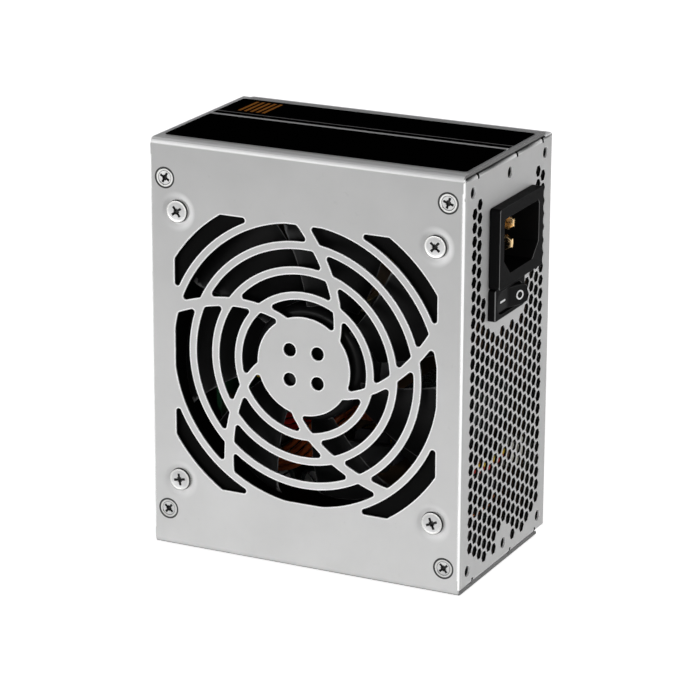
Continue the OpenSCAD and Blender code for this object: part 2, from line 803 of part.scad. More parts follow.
module rotor_shaft() {
  color("white") in_fan() translate([0, 0, motor_plate_t + 0.4])
    cylinder(h = hub_high_z - hub_top_t - motor_plate_t - 0.4, d = shaft_d);
}

module magnet_ring() {
  color("black") in_fan() translate([0, 0, magnet_low_z])
    linear_extrude(magnet_high_z - magnet_low_z) ring(magnet_r, magnet_r - magnet_t);
}

// ---- mains inlet and switch ----

module socket_outline() {
  difference() {
    rounded_rect([socket_w, socket_h], 1.2);
    for (side = [-1, 1]) translate([side * socket_w / 2, -socket_h / 2])
      rotate(45) square(socket_chamfer * sqrt(2), center = true);
  }
}

module inlet_housing() {
  color("#181818") on_inlet_panel([inlet_y, inlet_z]) difference() {
    union() {
      linear_extrude(inlet_proud) rounded_rect([inlet_w, inlet_h], 1);
      translate([0, 0, -inlet_back]) linear_extrude(inlet_back + eps)
        rounded_rect([inlet_body_w, inlet_body_h], 1.5);
      for (side = [-1, 1]) translate([0, side * inlet_body_h / 2, -sheet_t - clip_len / 2])
        cube([8, 2 * clip_h, clip_len], center = true);
    }
    translate([0, 0, inlet_proud - socket_depth]) linear_extrude(socket_depth + 1) socket_outline();
    translate([0, 0, -inlet_back - 1]) linear_extrude(inlet_back)
      for (at = [[-live_pin_y, live_pin_z], [live_pin_y, live_pin_z], [0, earth_pin_z]])
        translate(at) square([pin_t, pin_w] + [2, 2] * thread_play, center = true);
  }
}

module contact_pin(recess) {
  translate([-pin_t / 2, -pin_w / 2, -inlet_back]) cube([pin_t, pin_w, inlet_back + inlet_proud - recess]);
  translate([-tail_t / 2, -pin_w / 2, -inlet_back - tail_len]) cube([tail_t, pin_w, tail_len + eps]);
}

module live_pins() {
  color("goldenrod") on_inlet_panel([inlet_y, inlet_z])
    for (side = [-1, 1]) translate([side * live_pin_y, live_pin_z, 0]) contact_pin(live_pin_recess);
}

module earth_pin() {
  color("goldenrod") on_inlet_panel([inlet_y, inlet_z])
    translate([0, earth_pin_z, 0]) contact_pin(earth_pin_recess);
}

module switch_housing() {
  color("#181818") on_inlet_panel([switch_y, switch_z]) difference() {
    union() {
      linear_extrude(switch_proud) rounded_rect([switch_w, switch_h], 0.8);
      translate([-switch_body_w / 2, -switch_body_h / 2, -switch_depth])
        cube([switch_body_w, switch_body_h, switch_depth + eps]);
    }
    translate([-switch_bay_w / 2, -switch_bay_h / 2, switch_proud - switch_bay_depth])
      cube([switch_bay_w, switch_bay_h, switch_bay_depth + 1]);
    translate([0, 0, switch_proud - rocker_pivot]) rotate([90, 0, 0])
      cylinder(h = rocker_t + 2 * (rocker_pin_len + rocker_play), r = rocker_pin_d / 2 + pivot_play,
        center = true);
  }
}

// at rest the lower numbered end is pressed in
module switch_rocker() {
  end_z = rocker_valley + rocker_rise;
  color("#202020") on_inlet_panel([switch_y, switch_z])
    translate([0, 0, switch_proud - rocker_pivot]) rotate([90, 0, 0]) {
      linear_extrude(rocker_t, center = true) rotate(rocker_lean) intersection() {
        circle(rocker_r, $fn = 96);
        polygon([
          [-rocker_r, -rocker_under], [rocker_r, -rocker_under], [rocker_r, end_z],
          [rocker_half, end_z], [0, rocker_valley], [-rocker_half, end_z], [-rocker_r, end_z]
        ]);
      }
      cylinder(h = rocker_t + 2 * rocker_pin_len, d = rocker_pin_d, center = true);
    }
}

module switch_terminals() {
  color("silver") on_inlet_panel([switch_y, switch_z])
    for (x = terminals_at) translate([x - tail_t / 2, -terminal_w / 2, -switch_depth - terminal_len])
      cube([tail_t, terminal_w, terminal_len]);
}

// ---- leads ----

function unit(v) = v / norm(v);
function spline(p, i, t) =
  let (a = p[max(i - 1, 0)], b = p[i], c = p[i + 1], d = p[min(i + 2, len(p) - 1)])
    0.5 * ((2 * b) + (c - a) * t + (2 * a - 5 * b + 4 * c - d) * t * t
      + (3 * b - a - 3 * c + d) * t * t * t);
function smooth(p, steps) = concat(
  [for (i = [0 : len(p) - 2], s = [0 : steps - 1]) spline(p, i, s / steps)], [p[len(p) - 1]]);
// the way that a path runs at each of its points; its ends run as the route's ends do
function ways_of(path, route) = concat(
  [unit(route[1] - route[0])],
  [for (i = [1 : len(path) - 2]) unit(path[i + 1] - path[i - 1])],
  [unit(route[len(route) - 1] - route[len(route) - 2])]
);
// each ring's first direction is the last one's, turned as little as the path allows
function sides_of(ways, first, i = 0) =
  i == len(ways) ? [] :
  let (side = unit(first - ways[i] * (first * ways[i])))
    concat([side], sides_of(ways, side, i + 1));

// a round lead along a route of hand-chosen points, with flat ends
module lead(route, d, count = 8, steps = 2) {
  path = smooth(route, steps);
  ways = ways_of(path, route);
  sides = sides_of(ways, abs(ways[0].z) < 0.9 ? [0, 0, 1] : [1, 0, 0]);
  points = [
    for (i = [0 : len(path) - 1], k = [0 : count - 1])
      let (a = k * 360 / count, other = cross(ways[i], sides[i]))
        path[i] + d / 2 * (sides[i] * cos(a) + other * sin(a))
  ];
  last = (len(path) - 1) * count;
  polyhedron(points, concat(
    [[for (k = [0 : count - 1]) k]],
    [for (i = [0 : len(path) - 2], k = [0 : count - 1])
      let (a = i * count, n = (k + 1) % count) [a + n, a + k, a + count + k, a + count + n]],
    [[for (k = [count - 1 : -1 : 0]) last + k]]
  ), convexity = 4);
}

module mains_leads() {
  tail_x = side_x - inlet_back - tail_len;
  pin_at = [inlet_y, mid_z + inlet_z + live_pin_z];
  terminal_x = side_x - switch_depth - terminal_len;
  terminal_z = mid_z + switch_z;
  live_y = pin_at.x - live_pin_y;
  neutral_y = pin_at.x + live_pin_y;
  in_y = switch_y + terminals_at[0];
  out_y = switch_y + terminals_at[1];
  color("saddlebrown") {
    lead([
      [tail_x, live_y, pin_at.y], [tail_x - 3, live_y, pin_at.y], [tail_x - 6, live_y - 1, pin_at.y - 6],
      [tail_x - 5.5, in_y + 0.5, terminal_z + 5], [tail_x - 1, in_y, terminal_z],
      [terminal_x, in_y, terminal_z]
    ], mains_lead_d);
    lead([
      [terminal_x, out_y, terminal_z], [terminal_x - 4, out_y, terminal_z],
      [terminal_x - 7.5, out_y + 4, terminal_z + 1], [terminal_x - 8, out_y + 12, terminal_z + 1.5],
      [terminal_x - 8, board_y, terminal_z + 1.5]
    ], mains_lead_d);
  }
  color("royalblue") lead([
    [tail_x, neutral_y, pin_at.y], [tail_x - 3, neutral_y, pin_at.y],
    [tail_x - 5.5, neutral_y + 3, pin_at.y + 4], [tail_x - 5.7, neutral_y + 8, pin_at.y + 6],
    [tail_x - 5.7, board_y, pin_at.y + 6]
  ], mains_lead_d);
}

module earth_lead() {
  tail_x = side_x - inlet_back - tail_len;
  tail_z = mid_z + inlet_z + earth_pin_z;
  ring_z = shell_high_z - sheet_t;
  barrel_z = ring_z - 0.9 * mains_lead_d / 2 - 0.1;
  color("green") {
    lead([
      [tail_x, inlet_y, tail_z], [tail_x - 3, inlet_y, tail_z],
      [earth_x + 1.5, inlet_y + 3, tail_z + 7], [earth_x, board_y - 13.5, tail_z + 16],
      [earth_x, earth_y - 10, barrel_z - 1.2], [earth_x, earth_y - 5, barrel_z]
    ], mains_lead_d * 0.85);
    translate([earth_x, earth_y, ring_z - tail_t]) linear_extrude(tail_t) difference() {
      union() {
        circle(earth_ring_r);
        translate([-1, -earth_ring_r - 3.2]) square([2, 2.5]);
      }
      circle(earth_screw_r + 0.2);
    }
  }
}

module earth_screw() {
  ring_z = shell_high_z - sheet_t - tail_t;
  color("gainsboro") translate([earth_x, earth_y, ring_z]) mirror([0, 0, 1])
    pan_screw(earth_head_r, earth_head_h, earth_screw_r, sheet_t + tail_t);
}

module fan_lead() {
  step = fan_lead_d + 0.2;
  y = fan_back_y + fan_lead_d / 2 + 0.05;
  plug = plug_at + [0, 0, mid_z];
  color("tomato") for (i = [-1, 0, 1]) lead([
    [motor_plate_r * 0.5 + i * step / 2, y, mid_z - motor_plate_r * 0.6 + i * step / 2],
    [24 + i * step / 2, y + 0.3, mid_z - 22 + i * step / 2], [34, y + 1, plug.z + 5.5 + i * step],
    [plug.x - 2, y + 6, plug.z + 2 + i * step], [plug.x, y + 16, plug.z + i * step],
    [plug.x, board_y - plug_h - 5, plug.z + i * step], [plug.x, board_y - plug_h, plug.z + i * step]
  ], fan_lead_d);
}

module fan_plug() {
  color("white") on_board([plug_at.x, plug_at.z]) {
    difference() {
      translate([-plug_w / 2, -plug_len / 2, seat]) cube([plug_w, plug_len, plug_h - seat]);
      translate([plug_w / 2 - 0.6, -plug_len / 2 + 1, plug_h * 0.45]) cube([1, plug_len - 2, plug_h]);
    }
  }
}

module orange_leads() {
  color("orangered") for (i = [0 : 3]) {
    foot = [orange_foot_x, board_y, lead_feet_z] + i * foot_step;
    top = [orange_foot_x, route_y, lead_feet_z];
    lead(concat(
      [foot, foot + [0, -12, 0], top + [-2, -2, 2.5] + i * foot_step],
      [for (p = [[-5, -4, 4.5], [-15, -5, -5.5], [-25, -5.5, -15]]) top + p + i * orange_step],
      [for (x = [-28, socket_board_x + board_t]) [x, route_y - 5.5, mid_z - 44] + i * side_step]
    ), lead_d);
  }
}

module red_leads() {
  red_end_x = socket_board_x + board_t;
  color("red") for (i = [0 : 2]) {
    foot = [red_foot_x, board_y, lead_feet_z] + i * foot_step;
    lead(concat(
      [foot, foot + [0, -13, 0], foot + [-1, -20, 0.5]],
      [for (p = [[-10, 0.5, -27], [-23.5, -0.5, -32], [-32, -3, -27.5], [red_end_x, -3, -27.5]])
        p + [0, route_y, mid_z] + i * side_step]
    ), lead_d);
  }
}

// short leads beside the socket board, one above the other
module hooked_leads(first_z, count) {
  for (i = [0 : count - 1]) {
    z = mid_z + first_z + i * hook_step;
    lead([
      [hook_x, board_y, z], [hook_x, board_y - 6, z], [hook_x - 0.7, hook_y + 2, z],
      [hook_x - 2.2, hook_y, z], [socket_board_x + board_t, hook_y, z]
    ], lead_d);
  }
}

module yellow_leads() color("gold") hooked_leads(-20, 5);
module black_leads() color("#181818") hooked_leads(-20 + 5 * hook_step, 6);

// ---- main board ----

module insulating_sheet() {
  color("ivory") translate([0, back_y - sheet_t, mid_z]) rotate([90, 0, 0]) linear_extrude(film_t)
    difference() {
      square(2 * [board_half_w, board_half_h], center = true);
      for (at = standoffs_at) translate(at) circle(standoff_r + 0.3);
    }
}

module board_standoffs() {
  color("goldenrod") for (at = standoffs_at) on_board(at) difference() {
    union() {
      translate([0, 0, -board_t - standoff_h - film_t])
        cylinder(h = standoff_h + film_t, r = standoff_r);
      translate([0, 0, board_y - back_y]) cylinder(h = sheet_t + eps, r = spigot_r);
    }
    translate([0, 0, -board_t - standoff_h + 0.5])
      cylinder(h = standoff_h, r = standoff_screw_r + thread_play);
  }
}

module board_screws() {
  color("gainsboro") {
    for (at = standoffs_at) on_board(at)
      pan_screw(pan_head_r, pan_head_h, standoff_screw_r, board_t + standoff_screw_len - 1.5);
    for (at = spacers_at) on_output_panel(at)
      pan_screw(pan_head_r, pan_head_h, spacer_screw_r, sheet_t + 5);
  }
}

module main_board() {
  color("peru") on_board() translate([0, 0, -board_t]) linear_extrude(board_t) difference() {
    square(2 * [board_half_w, board_half_h], center = true);
    for (at = standoffs_at) translate(at) circle(standoff_screw_r + 0.2);
  }
}

module fuse() {
  color("tan") on_board(fuse_at) translate([0, 0, fuse_r + 0.6]) rotate([90, 0, 0]) {
    cylinder(h = fuse_len, r = fuse_r, center = true);
    for (side = [-1, 1]) translate([0, 0, side * (fuse_len / 2 - 2.5)])
      cylinder(h = 5, r = fuse_r + 0.3, center = true);
  }
}

module x_capacitor() {
  color("gold") on_board(x_cap_at) translate([0, 0, seat])
    linear_extrude(x_cap.z) rounded_rect([x_cap.x, x_cap.y], 0.8);
}

module y_capacitors() {
  color("royalblue") for (at = y_caps_at) on_board(at) disc(y_cap_r, 3);
}

// a disc standing on its edge, with rounded rim
module disc(r, t) {
  edge_r = t / 2 - 0.2;
  translate([0, 0, r + seat]) rotate([90, 0, 0]) rotate_extrude() {
    translate([0, -t / 2]) square([r - edge_r, t]);
    for (side = [-1, 1]) translate([r - edge_r, side * 0.2]) intersection() {
      circle(edge_r);
      square([edge_r, 2 * edge_r], center = false);
    }
  }
}

module varistor() color("royalblue") on_board(varistor_at) disc(disc_r, disc_t);
module thermistor() color("#202020") on_board(thermistor_at) disc(disc_r, disc_t);

// a toroid's core lies flat on the board, with the wire's turns around it
module toroid_core(outer_r, h) {
  translate([0, 0, choke_wire_d + seat]) linear_extrude(h) ring(outer_r, outer_r / 2);
}

module toroid_turns(outer_r, h, angles) {
  d = choke_wire_d;
  play = 0.1;
  size = [outer_r / 2, h] + [2, 2] * play;
  for (a = angles) rotate(a) translate([outer_r * 3 / 4, 0, d + seat + h / 2]) rotate([90, 0, 0])
    linear_extrude(d, center = true) difference() {
      rounded_rect(size + [2, 2] * (d - play), d * 0.9);
      square(size, center = true);
    }
}

module line_choke_core() color("dimgray") on_board(choke_at) toroid_core(line_choke_r, line_choke_h);
module line_choke_coils() {
  color("chocolate") on_board(choke_at) toroid_turns(line_choke_r, line_choke_h,
    [for (half = [0, 180], i = [0 : 4]) half + 34 + i * 28]);
}

module pfc_choke_core() color("dimgray") on_board(pfc_at) toroid_core(pfc_r, pfc_h);
module pfc_choke_coil() {
  color("chocolate") on_board(pfc_at) toroid_turns(pfc_r, pfc_h, [for (i = [0 : 16]) 20 + i * 20]);
}

module output_choke_core() {
  color("khaki") on_board(output_choke_at) toroid_core(choke_r, choke_h);
}
module output_choke_coil() {
  color("chocolate") on_board(output_choke_at)
    toroid_turns(choke_r, choke_h, [for (i = [0 : 17]) 15 + i * 19]);
}

module capacitor_can(d, h) {
  translate([0, 0, seat]) rotate_extrude() difference() {
    union() {
      square([d / 2 - 1, h]);
      translate([0, 1]) square([d / 2, h - 2]);
      for (z = [1, h - 1]) translate([d / 2 - 1, z]) circle(1);
    }
    translate([d / 2, 3]) circle(0.6);
    translate([0, h - 0.3]) square([d / 2 - 1.8, 1]);
  }
}

module bulk_capacitor() color("#202020") on_board(bulk_at) capacitor_can(bulk_d, bulk_h);
module output_capacitors() {
  color("darkgreen") for (at = output_caps_at) on_board(at) capacitor_can(output_cap_d, output_cap_h);
}

// a package with its metal tab, standing with its back against y = 0
module power_package() {
  translate([-chip_w / 2, -chip_t, chip_lift]) cube([chip_w, chip_t, chip_h]);
  translate([-chip_w / 2, -1.2, chip_lift + chip_h - eps]) difference() {
    cube([chip_w, 1.2, chip_tab_h]);
    translate([chip_w / 2, -1, chip_tab_h / 2]) rotate([-90, 0, 0]) cylinder(h = 4, r = 1.6);
  }
  for (x = [-2.5, 0, 2.5]) translate([x - 0.4, -chip_t / 2 - 0.3, seat])
    cube([0.8, 0.6, chip_lift]);
}

module heat_sink(w) {
  difference() {
    translate([0, 0, seat]) cube([w, sink_t, sink_h]);
    for (x = [2.5 : 4 : w - 4]) translate([x, -1, sink_h - 8]) cube([2, sink_t + 2, 10]);
    translate([2, -1, -1]) cube([w - 4, sink_t + 2, 1 + seat + sink_foot]);
  }
}

module primary_heatsink() {
  color("silver") on_board(primary_sink_at) heat_sink(primary_sink_w);
}

module primary_transistors() {
  color("#202020") for (x = transistors_at) on_board(primary_sink_at + [x, 0]) power_package();
}

module bridge_rectifier() {
  color("#202020") on_board(primary_sink_at + [primary_sink_w / 2 - bridge_w / 2, sink_t]) {
    translate([0, 0, chip_lift]) cube([bridge_w, bridge_t, bridge_h]);
    for (i = [0 : 3]) translate([2 + i * (bridge_w - 5) / 3, bridge_t / 2 - 0.4, seat])
      cube([1, 0.8, chip_lift]);
  }
}

module secondary_heatsink() {
  color("silver") on_board(secondary_sink_at) translate([sink_t, 0, 0]) rotate(90)
    heat_sink(secondary_sink_w);
}

module secondary_rectifiers() {
  color("#202020") for (z = rectifiers_at) on_board(secondary_sink_at + [0, z]) rotate(-90)
    power_package();
}

// the core is a pair of E shapes: a block with two windows beside its middle leg
module e_core(w, t, h, leg) {
  side_leg = leg * 0.55;
  window_w = (w - leg) / 2 - side_leg;
  translate([0, t / 2, seat]) rotate([90, 0, 0]) linear_extrude(t) difference() {
    translate([-w / 2, 0]) square([w, h]);
    for (side = [-1, 1]) translate([side * (leg + window_w) / 2 - window_w / 2, leg * 0.45])
      square([window_w, h - 0.9 * leg]);
  }
}

module e_winding(w, t, h, leg) {
  window_w = (w - leg) / 2 - leg * 0.55;
  translate([0, 0, seat + leg * 0.45 + winding_gap]) linear_extrude(h - 0.9 * leg - 2 * winding_gap)
    difference() {
      rounded_rect([leg, t] + [2, 2] * (window_w - winding_gap), 2.5);
      square([leg, t] + [2, 2] * winding_gap, center = true);
    }
}

module transformer_core() {
  color("dimgray") on_board(transformer_at) e_core(core_w, core_t, core_h, core_leg);
}
module transformer_winding() {
  color("gold") on_board(transformer_at) e_winding(core_w, core_t, core_h, core_leg);
}
module standby_core() {
  color("dimgray") on_board(standby_at) e_core(standby_w, standby_core_t, standby_h, standby_leg);
}
module standby_winding() {
  color("gold") on_board(standby_at) e_winding(standby_w, standby_core_t, standby_h, standby_leg);
}

module supervisor_board() {
  color("green") on_board(supervisor_at) {
    translate([-supervisor_w / 2, -supervisor_t / 2, seat]) cube([supervisor_w, supervisor_t, supervisor_h]);
    translate([-5, -supervisor_t / 2 - 1.5, 7]) cube([10, 1.5 + eps, 5]);
  }
}

// ---- output sockets ----

function socket_size(count) = [2, count] * contact_pitch + [2, 2] * socket_wall;
function cells_of(s) = [for (row = [-0.5, 0.5], i = [0 : s[2] - 1])
  [row, i - (s[2] - 1) / 2] * contact_pitch];

module output_sockets() {
  color("#202020") for (s = output_sockets_at) on_output_panel(s) difference() {
    translate([0, 0, output_proud - output_len]) linear_extrude(output_len)
      rounded_rect(socket_size(s[2]), 0.5);
    for (c = cells_of(s)) translate([c.x, c.y, output_proud - cell_depth]) {
      translate([-cell_w / 2, -cell_w / 2, 0]) cube([cell_w, cell_w, cell_depth + 1]);
      cube([contact_w + 2 * thread_play, contact_w + 2 * thread_play, 2 * output_len], center = true);
    }
  }
}

module output_contacts() {
  color("goldenrod") for (s = output_sockets_at) on_output_panel(s) for (c = cells_of(s))
    translate([c.x - contact_w / 2, c.y - contact_w / 2, output_proud - output_len])
      cube([contact_w, contact_w, output_len - contact_recess]);
}

module socket_board() {
  color("darkgreen") translate([socket_board_x, socket_board_y, mid_z]) rotate([90, 0, 90])
    linear_extrude(board_t) square(2 * socket_board_half, center = true);
}

module socket_spacers() {
  len = output_len - output_proud - sheet_t;
  color("goldenrod") for (at = spacers_at) on_output_panel(at) translate([0, 0, -sheet_t - len])
    difference() {
      cylinder(h = len, r = spacer_r);
      translate([0, 0, len - 6]) cylinder(h = 7, r = spacer_screw_r + thread_play);
    }
}

// ---- the pieces ----

base_shell();
fan_cover();
case_screws();
fan_screws();
top_label();
rating_label();
fan_frame();
fan_bearing();
fan_board();
fan_stator();
stator_coils();
fan_rotor();
rotor_shaft();
magnet_ring();
fan_lead();
fan_plug();
inlet_housing();
live_pins();
earth_pin();
switch_housing();
switch_rocker();
switch_terminals();
mains_leads();
earth_lead();
earth_screw();
insulating_sheet();
board_standoffs();
board_screws();
main_board();
fuse();
x_capacitor();
y_capacitors();
line_choke_core();
line_choke_coils();
varistor();
thermistor();
bridge_rectifier();
primary_heatsink();
primary_transistors();
pfc_choke_core();
pfc_choke_coil();
bulk_capacitor();
transformer_core();
transformer_winding();
standby_core();
standby_winding();
secondary_heatsink();
secondary_rectifiers();
output_choke_core();
output_choke_coil();
output_capacitors();
supervisor_board();
socket_board();
socket_spacers();
output_sockets();
output_contacts();
orange_leads();
red_leads();
yellow_leads();
black_leads();
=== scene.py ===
import json
import math
import bpy
import bmesh
from mathutils import Matrix, Vector


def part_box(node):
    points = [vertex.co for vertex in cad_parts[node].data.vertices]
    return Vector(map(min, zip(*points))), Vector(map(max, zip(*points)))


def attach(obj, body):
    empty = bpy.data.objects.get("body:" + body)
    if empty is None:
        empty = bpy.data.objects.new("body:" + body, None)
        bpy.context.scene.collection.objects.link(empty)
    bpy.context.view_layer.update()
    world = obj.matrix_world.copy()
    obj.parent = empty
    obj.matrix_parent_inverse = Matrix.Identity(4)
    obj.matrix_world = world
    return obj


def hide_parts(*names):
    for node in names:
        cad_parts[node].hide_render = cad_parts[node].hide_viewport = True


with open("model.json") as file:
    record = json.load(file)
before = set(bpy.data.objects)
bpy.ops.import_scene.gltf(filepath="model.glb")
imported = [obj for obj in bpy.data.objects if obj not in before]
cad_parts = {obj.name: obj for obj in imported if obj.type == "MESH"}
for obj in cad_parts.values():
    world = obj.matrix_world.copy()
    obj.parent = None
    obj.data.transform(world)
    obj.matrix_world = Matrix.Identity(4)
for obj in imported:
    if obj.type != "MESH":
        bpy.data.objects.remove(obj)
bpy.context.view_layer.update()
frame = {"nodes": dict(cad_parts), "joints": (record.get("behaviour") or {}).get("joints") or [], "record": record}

nodes = frame["nodes"]
mm = 0.001


# general helpers

def boxOf(node):
    low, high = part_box(node)
    return low, high, (low + high) / 2


def linkObject(name, bm, materials):
    mesh = bpy.data.meshes.new(name)
    bm.normal_update()
    bm.to_mesh(mesh)
    bm.free()
    for material in materials:
        mesh.materials.append(material)
    obj = bpy.data.objects.new(name, mesh)
    bpy.context.scene.collection.objects.link(obj)
    return obj


def addObject(name, bm, materials, body, smoothAngle):
    obj = linkObject(name, bm, materials)
    shadeSmooth(obj, smoothAngle)
    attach(obj, body)
    return obj


def shadeSmooth(obj, angle):
    mesh = obj.data
    mesh.polygons.foreach_set("use_smooth", [True] * len(mesh.polygons))
    mesh.set_sharp_from_angle(angle=math.radians(angle))


def turns(steps):
    # the angles of a whole turn's steps
    return [math.tau * i / steps for i in range(steps)]


def sweep(steps, turn=math.pi / 2):
    # angles from 0 up to turn, both ends included
    return [turn * i / steps for i in range(steps + 1)]


def facing(direction, at=(0, 0, 0)):
    # a matrix whose Z looks along direction
    return Matrix.Translation(at) @ Vector(direction).to_track_quat("Z", "Y").to_matrix().to_4x4()


def axes(u, v, w, at):
    # a matrix with the given directions as its columns
    return Matrix.Translation(at) @ Matrix((u, v, w)).transposed().to_4x4()


def lathe(bm, profile, matrix, steps=48, closed=False):
    # profile is a list of (radius, height); the axis is the matrix's own Z
    rings = []
    for radius, height in profile:
        if radius < 1e-7:
            rings.append([bm.verts.new(matrix @ Vector((0, 0, height)))])
        else:
            rings.append([bm.verts.new(matrix @ Vector((radius * math.cos(a), radius * math.sin(a), height)))
                          for a in turns(steps)])
    pairs = list(zip(rings, rings[1:])) + ([(rings[-1], rings[0])] if closed else [])
    for lower, upper in pairs:
        for i in range(steps):
            j = (i + 1) % steps
            corner = [lower[i % len(lower)], lower[j % len(lower)],
                      upper[j % len(upper)], upper[i % len(upper)]]
            unique = [v for k, v in enumerate(corner) if v not in corner[:k]]
            if len(unique) > 2:
                bm.faces.new(unique)
    bmesh.ops.recalc_face_normals(bm, faces=bm.faces)


def skin(bm, rings):
    # faces between rings of points, and one over each end
    count = len(rings[0])
    for lower, upper in zip(rings, rings[1:]):
        for i in range(count):
            j = (i + 1) % count
            bm.faces.new((lower[i], lower[j], upper[j], upper[i]))
    bm.faces.new(rings[0][::-1])
    bm.faces.new(rings[-1])


def tube(bm, path, radius, sides=12):
    # a smooth round tube whose rings turn as little as the path allows
    last = len(path) - 1
    ways = [(path[min(i + 1, last)] - path[max(i - 1, 0)]).normalized() for i in range(last + 1)]
    side = ways[0].orthogonal().normalized()
    rings = []
    for point, way in zip(path, ways):
        side = (side - way * side.dot(way)).normalized()
        other = way.cross(side)
        rings.append([bm.verts.new(point + radius * (side * math.cos(a) + other * math.sin(a)))
                      for a in turns(sides)])
    skin(bm, rings)


def stack(bm, matrix, levels, count=64):
    # a closed form through round-cornered rectangles: (half width, half height, corner, level)
    halvings = 26
    rings = []
    for halfU, halfV, corner, level in levels:
        ring = []
        for t in turns(count):
            near, far = 0.0, halfU + halfV
            for step in range(halvings):
                reach = (near + far) / 2
                a = abs(math.cos(t)) * reach - (halfU - corner)
                b = abs(math.sin(t)) * reach - (halfV - corner)
                inside = math.hypot(max(a, 0), max(b, 0)) + min(max(a, b), 0) < corner
                near, far = (reach, far) if inside else (near, reach)
            ring.append(bm.verts.new(matrix @ Vector((near * math.cos(t), near * math.sin(t), level))))
        rings.append(ring)
    skin(bm, rings)
    bmesh.ops.recalc_face_normals(bm, faces=bm.faces)


def prism(bm, matrix, outline, low, high, bevel):
    # a block on a convex outline, with its upper edge cut off
    middle = [sum(p[k] for p in outline) / len(outline) for k in (0, 1)]
    rings = []
    for level, inset in ((low, 0), (high - bevel, 0), (high, bevel)):
        ring = []
        for x, y in outline:
            dx, dy = x - middle[0], y - middle[1]
            size = 1 - inset / math.hypot(dx, dy)
            ring.append(bm.verts.new(matrix @ Vector((middle[0] + dx * size, middle[1] + dy * size, level))))
        rings.append(ring)
    skin(bm, rings)


def paint(bm, start, index):
    # the faces made since start take another of the piece's materials
    bm.faces.ensure_lookup_table()
    for face in bm.faces[start:]:
        face.material_index = index


def smoothPath(points, steps=6):
    # a curve through the points
    last = len(points) - 1
    path = []
    for i in range(last):
        a, b, c, d = points[max(i - 1, 0)], points[i], points[i + 1], points[min(i + 2, last)]
        for k in range(steps):
            t = k / steps
            square, cube = 2 * a - 5 * b + 4 * c - d, 3 * b - a - 3 * c + d
            path.append(0.5 * (2 * b + (c - a) * t + square * t ** 2 + cube * t ** 3))
    return path + [points[-1]]


def solidBoxes(node):
    # the boxes of a node's separate solids, from its linked faces
    bm = bmesh.new()
    bm.from_mesh(nodes[node].data)
    bmesh.ops.remove_doubles(bm, verts=bm.verts, dist=0.002 * mm)
    left = set(bm.verts)
    boxes = []
    while left:
        waiting = [left.pop()]
        group = [waiting[0]]
        while waiting:
            vert = waiting.pop()
            for edge in vert.link_edges:
                other = edge.other_vert(vert)
                if other in left:
                    left.remove(other)
                    waiting.append(other)
                    group.append(other)
        low = Vector([min(v.co[i] for v in group) for i in range(3)])
        high = Vector([max(v.co[i] for v in group) for i in range(3)])
        boxes.append((low, high))
    bm.free()
    return sorted(boxes, key=lambda b: (round(b[0].z, 4), round(b[0].x, 4)))


def solidMiddles(node):
    return [(low + high) / 2 for low, high in solidBoxes(node)]


# the case's own measures, from the CAD nodes

shellHigh = boxOf("base_shell")[1]
coverLow, coverHigh = boxOf("fan_cover")[:2]
caseHalf = shellHigh.x
middleZ = coverHigh.z / 2
boardY = boxOf("main_board")[0].y
mountAt = (25.75 * mm, 56.5 * mm)  # the panel's mounting holes, from its middle
fanScrewAt = max(p.x for p in solidMiddles("fan_screws"))
caseScrewX = max(p.x for p in solidMiddles("case_screws"))
leftScrewZ, rightScrewZ = [max(p.z for p in solidMiddles("case_screws") if p.x * side > 0) - middleZ
                           for side in (-1, 1)]


# node helpers for the finishes

def startMaterial(name):
    material = bpy.data.materials.new(name)
    material.use_nodes = True
    tree = material.node_tree
    tree.nodes.clear()
    out = tree.nodes.new("ShaderNodeOutputMaterial")
    shader = tree.nodes.new("ShaderNodeBsdfPrincipled")
    tree.links.new(shader.outputs[0], out.inputs[0])
    return material, tree, shader


def fill(tree, socket, value):
    # a socket takes another socket, a number or a colour
    if isinstance(value, bpy.types.NodeSocket):
        tree.links.new(value, socket)
    elif socket.type == "RGBA" and len(value) == 3:
        socket.default_value = (*value, 1)
    else:
        socket.default_value = value


def addNode(tree, kind, settings=None, **inputs):
    node = tree.nodes.new("ShaderNode" + kind)
    for key, value in (settings or {}).items():
        setattr(node, key, value)
    for key, value in inputs.items():
        byNumber = key[0] == "i" and key[1:].isdigit()
        fill(tree, node.inputs[int(key[1:]) if byNumber else key], value)
    return node


def maths(tree, operation, a, b=0.0):
    return addNode(tree, "Math", {"operation": operation}, i0=a, i1=b).outputs[0]


def times(tree, *values):
    product = values[0]
    for value in values[1:]:
        product = maths(tree, "MULTIPLY", product, value)
    return product


def largest(tree, *values):
    most = values[0]
    for value in values[1:]:
        most = maths(tree, "MAXIMUM", most, value)
    return most


def distance(tree, a, b):
    return maths(tree, "SQRT", maths(tree, "ADD", times(tree, a, a), times(tree, b, b)))


def within(tree, value, middle, half):
    return maths(tree, "LESS_THAN", maths(tree, "ABSOLUTE", maths(tree, "SUBTRACT", value, middle)), half)


def ramp(tree, value, start, end, low, high):
    # runs from low at start to high at end, and stays level beyond them
    return addNode(tree, "MapRange", {"clamp": True}, i0=value, i1=start, i2=end, i3=low, i4=high).outputs[0]


def above(tree, value, start, end):
    return ramp(tree, value, start, end, 0.0, 1.0)


def below(tree, value, start, end):
    return ramp(tree, value, start, end, 1.0, 0.0)


def band(tree, value, start, full, fall, end):
    # rises from 0 at start to 1 at full, and falls from 1 at fall back to 0 at end
    return times(tree, above(tree, value, start, full), below(tree, value, fall, end))


def spread(tree, value, low, high, start=0.3, end=0.7):
    # stretches the middle of a noise over the range from low to high
    return ramp(tree, value, start, end, low, high)


def separate(tree, coordinate):
    # the three parts of the surface's point ("Object") or facing ("Normal")
    vector = addNode(tree, "TexCoord").outputs[coordinate]
    return list(addNode(tree, "SeparateXYZ", None, Vector=vector).outputs)


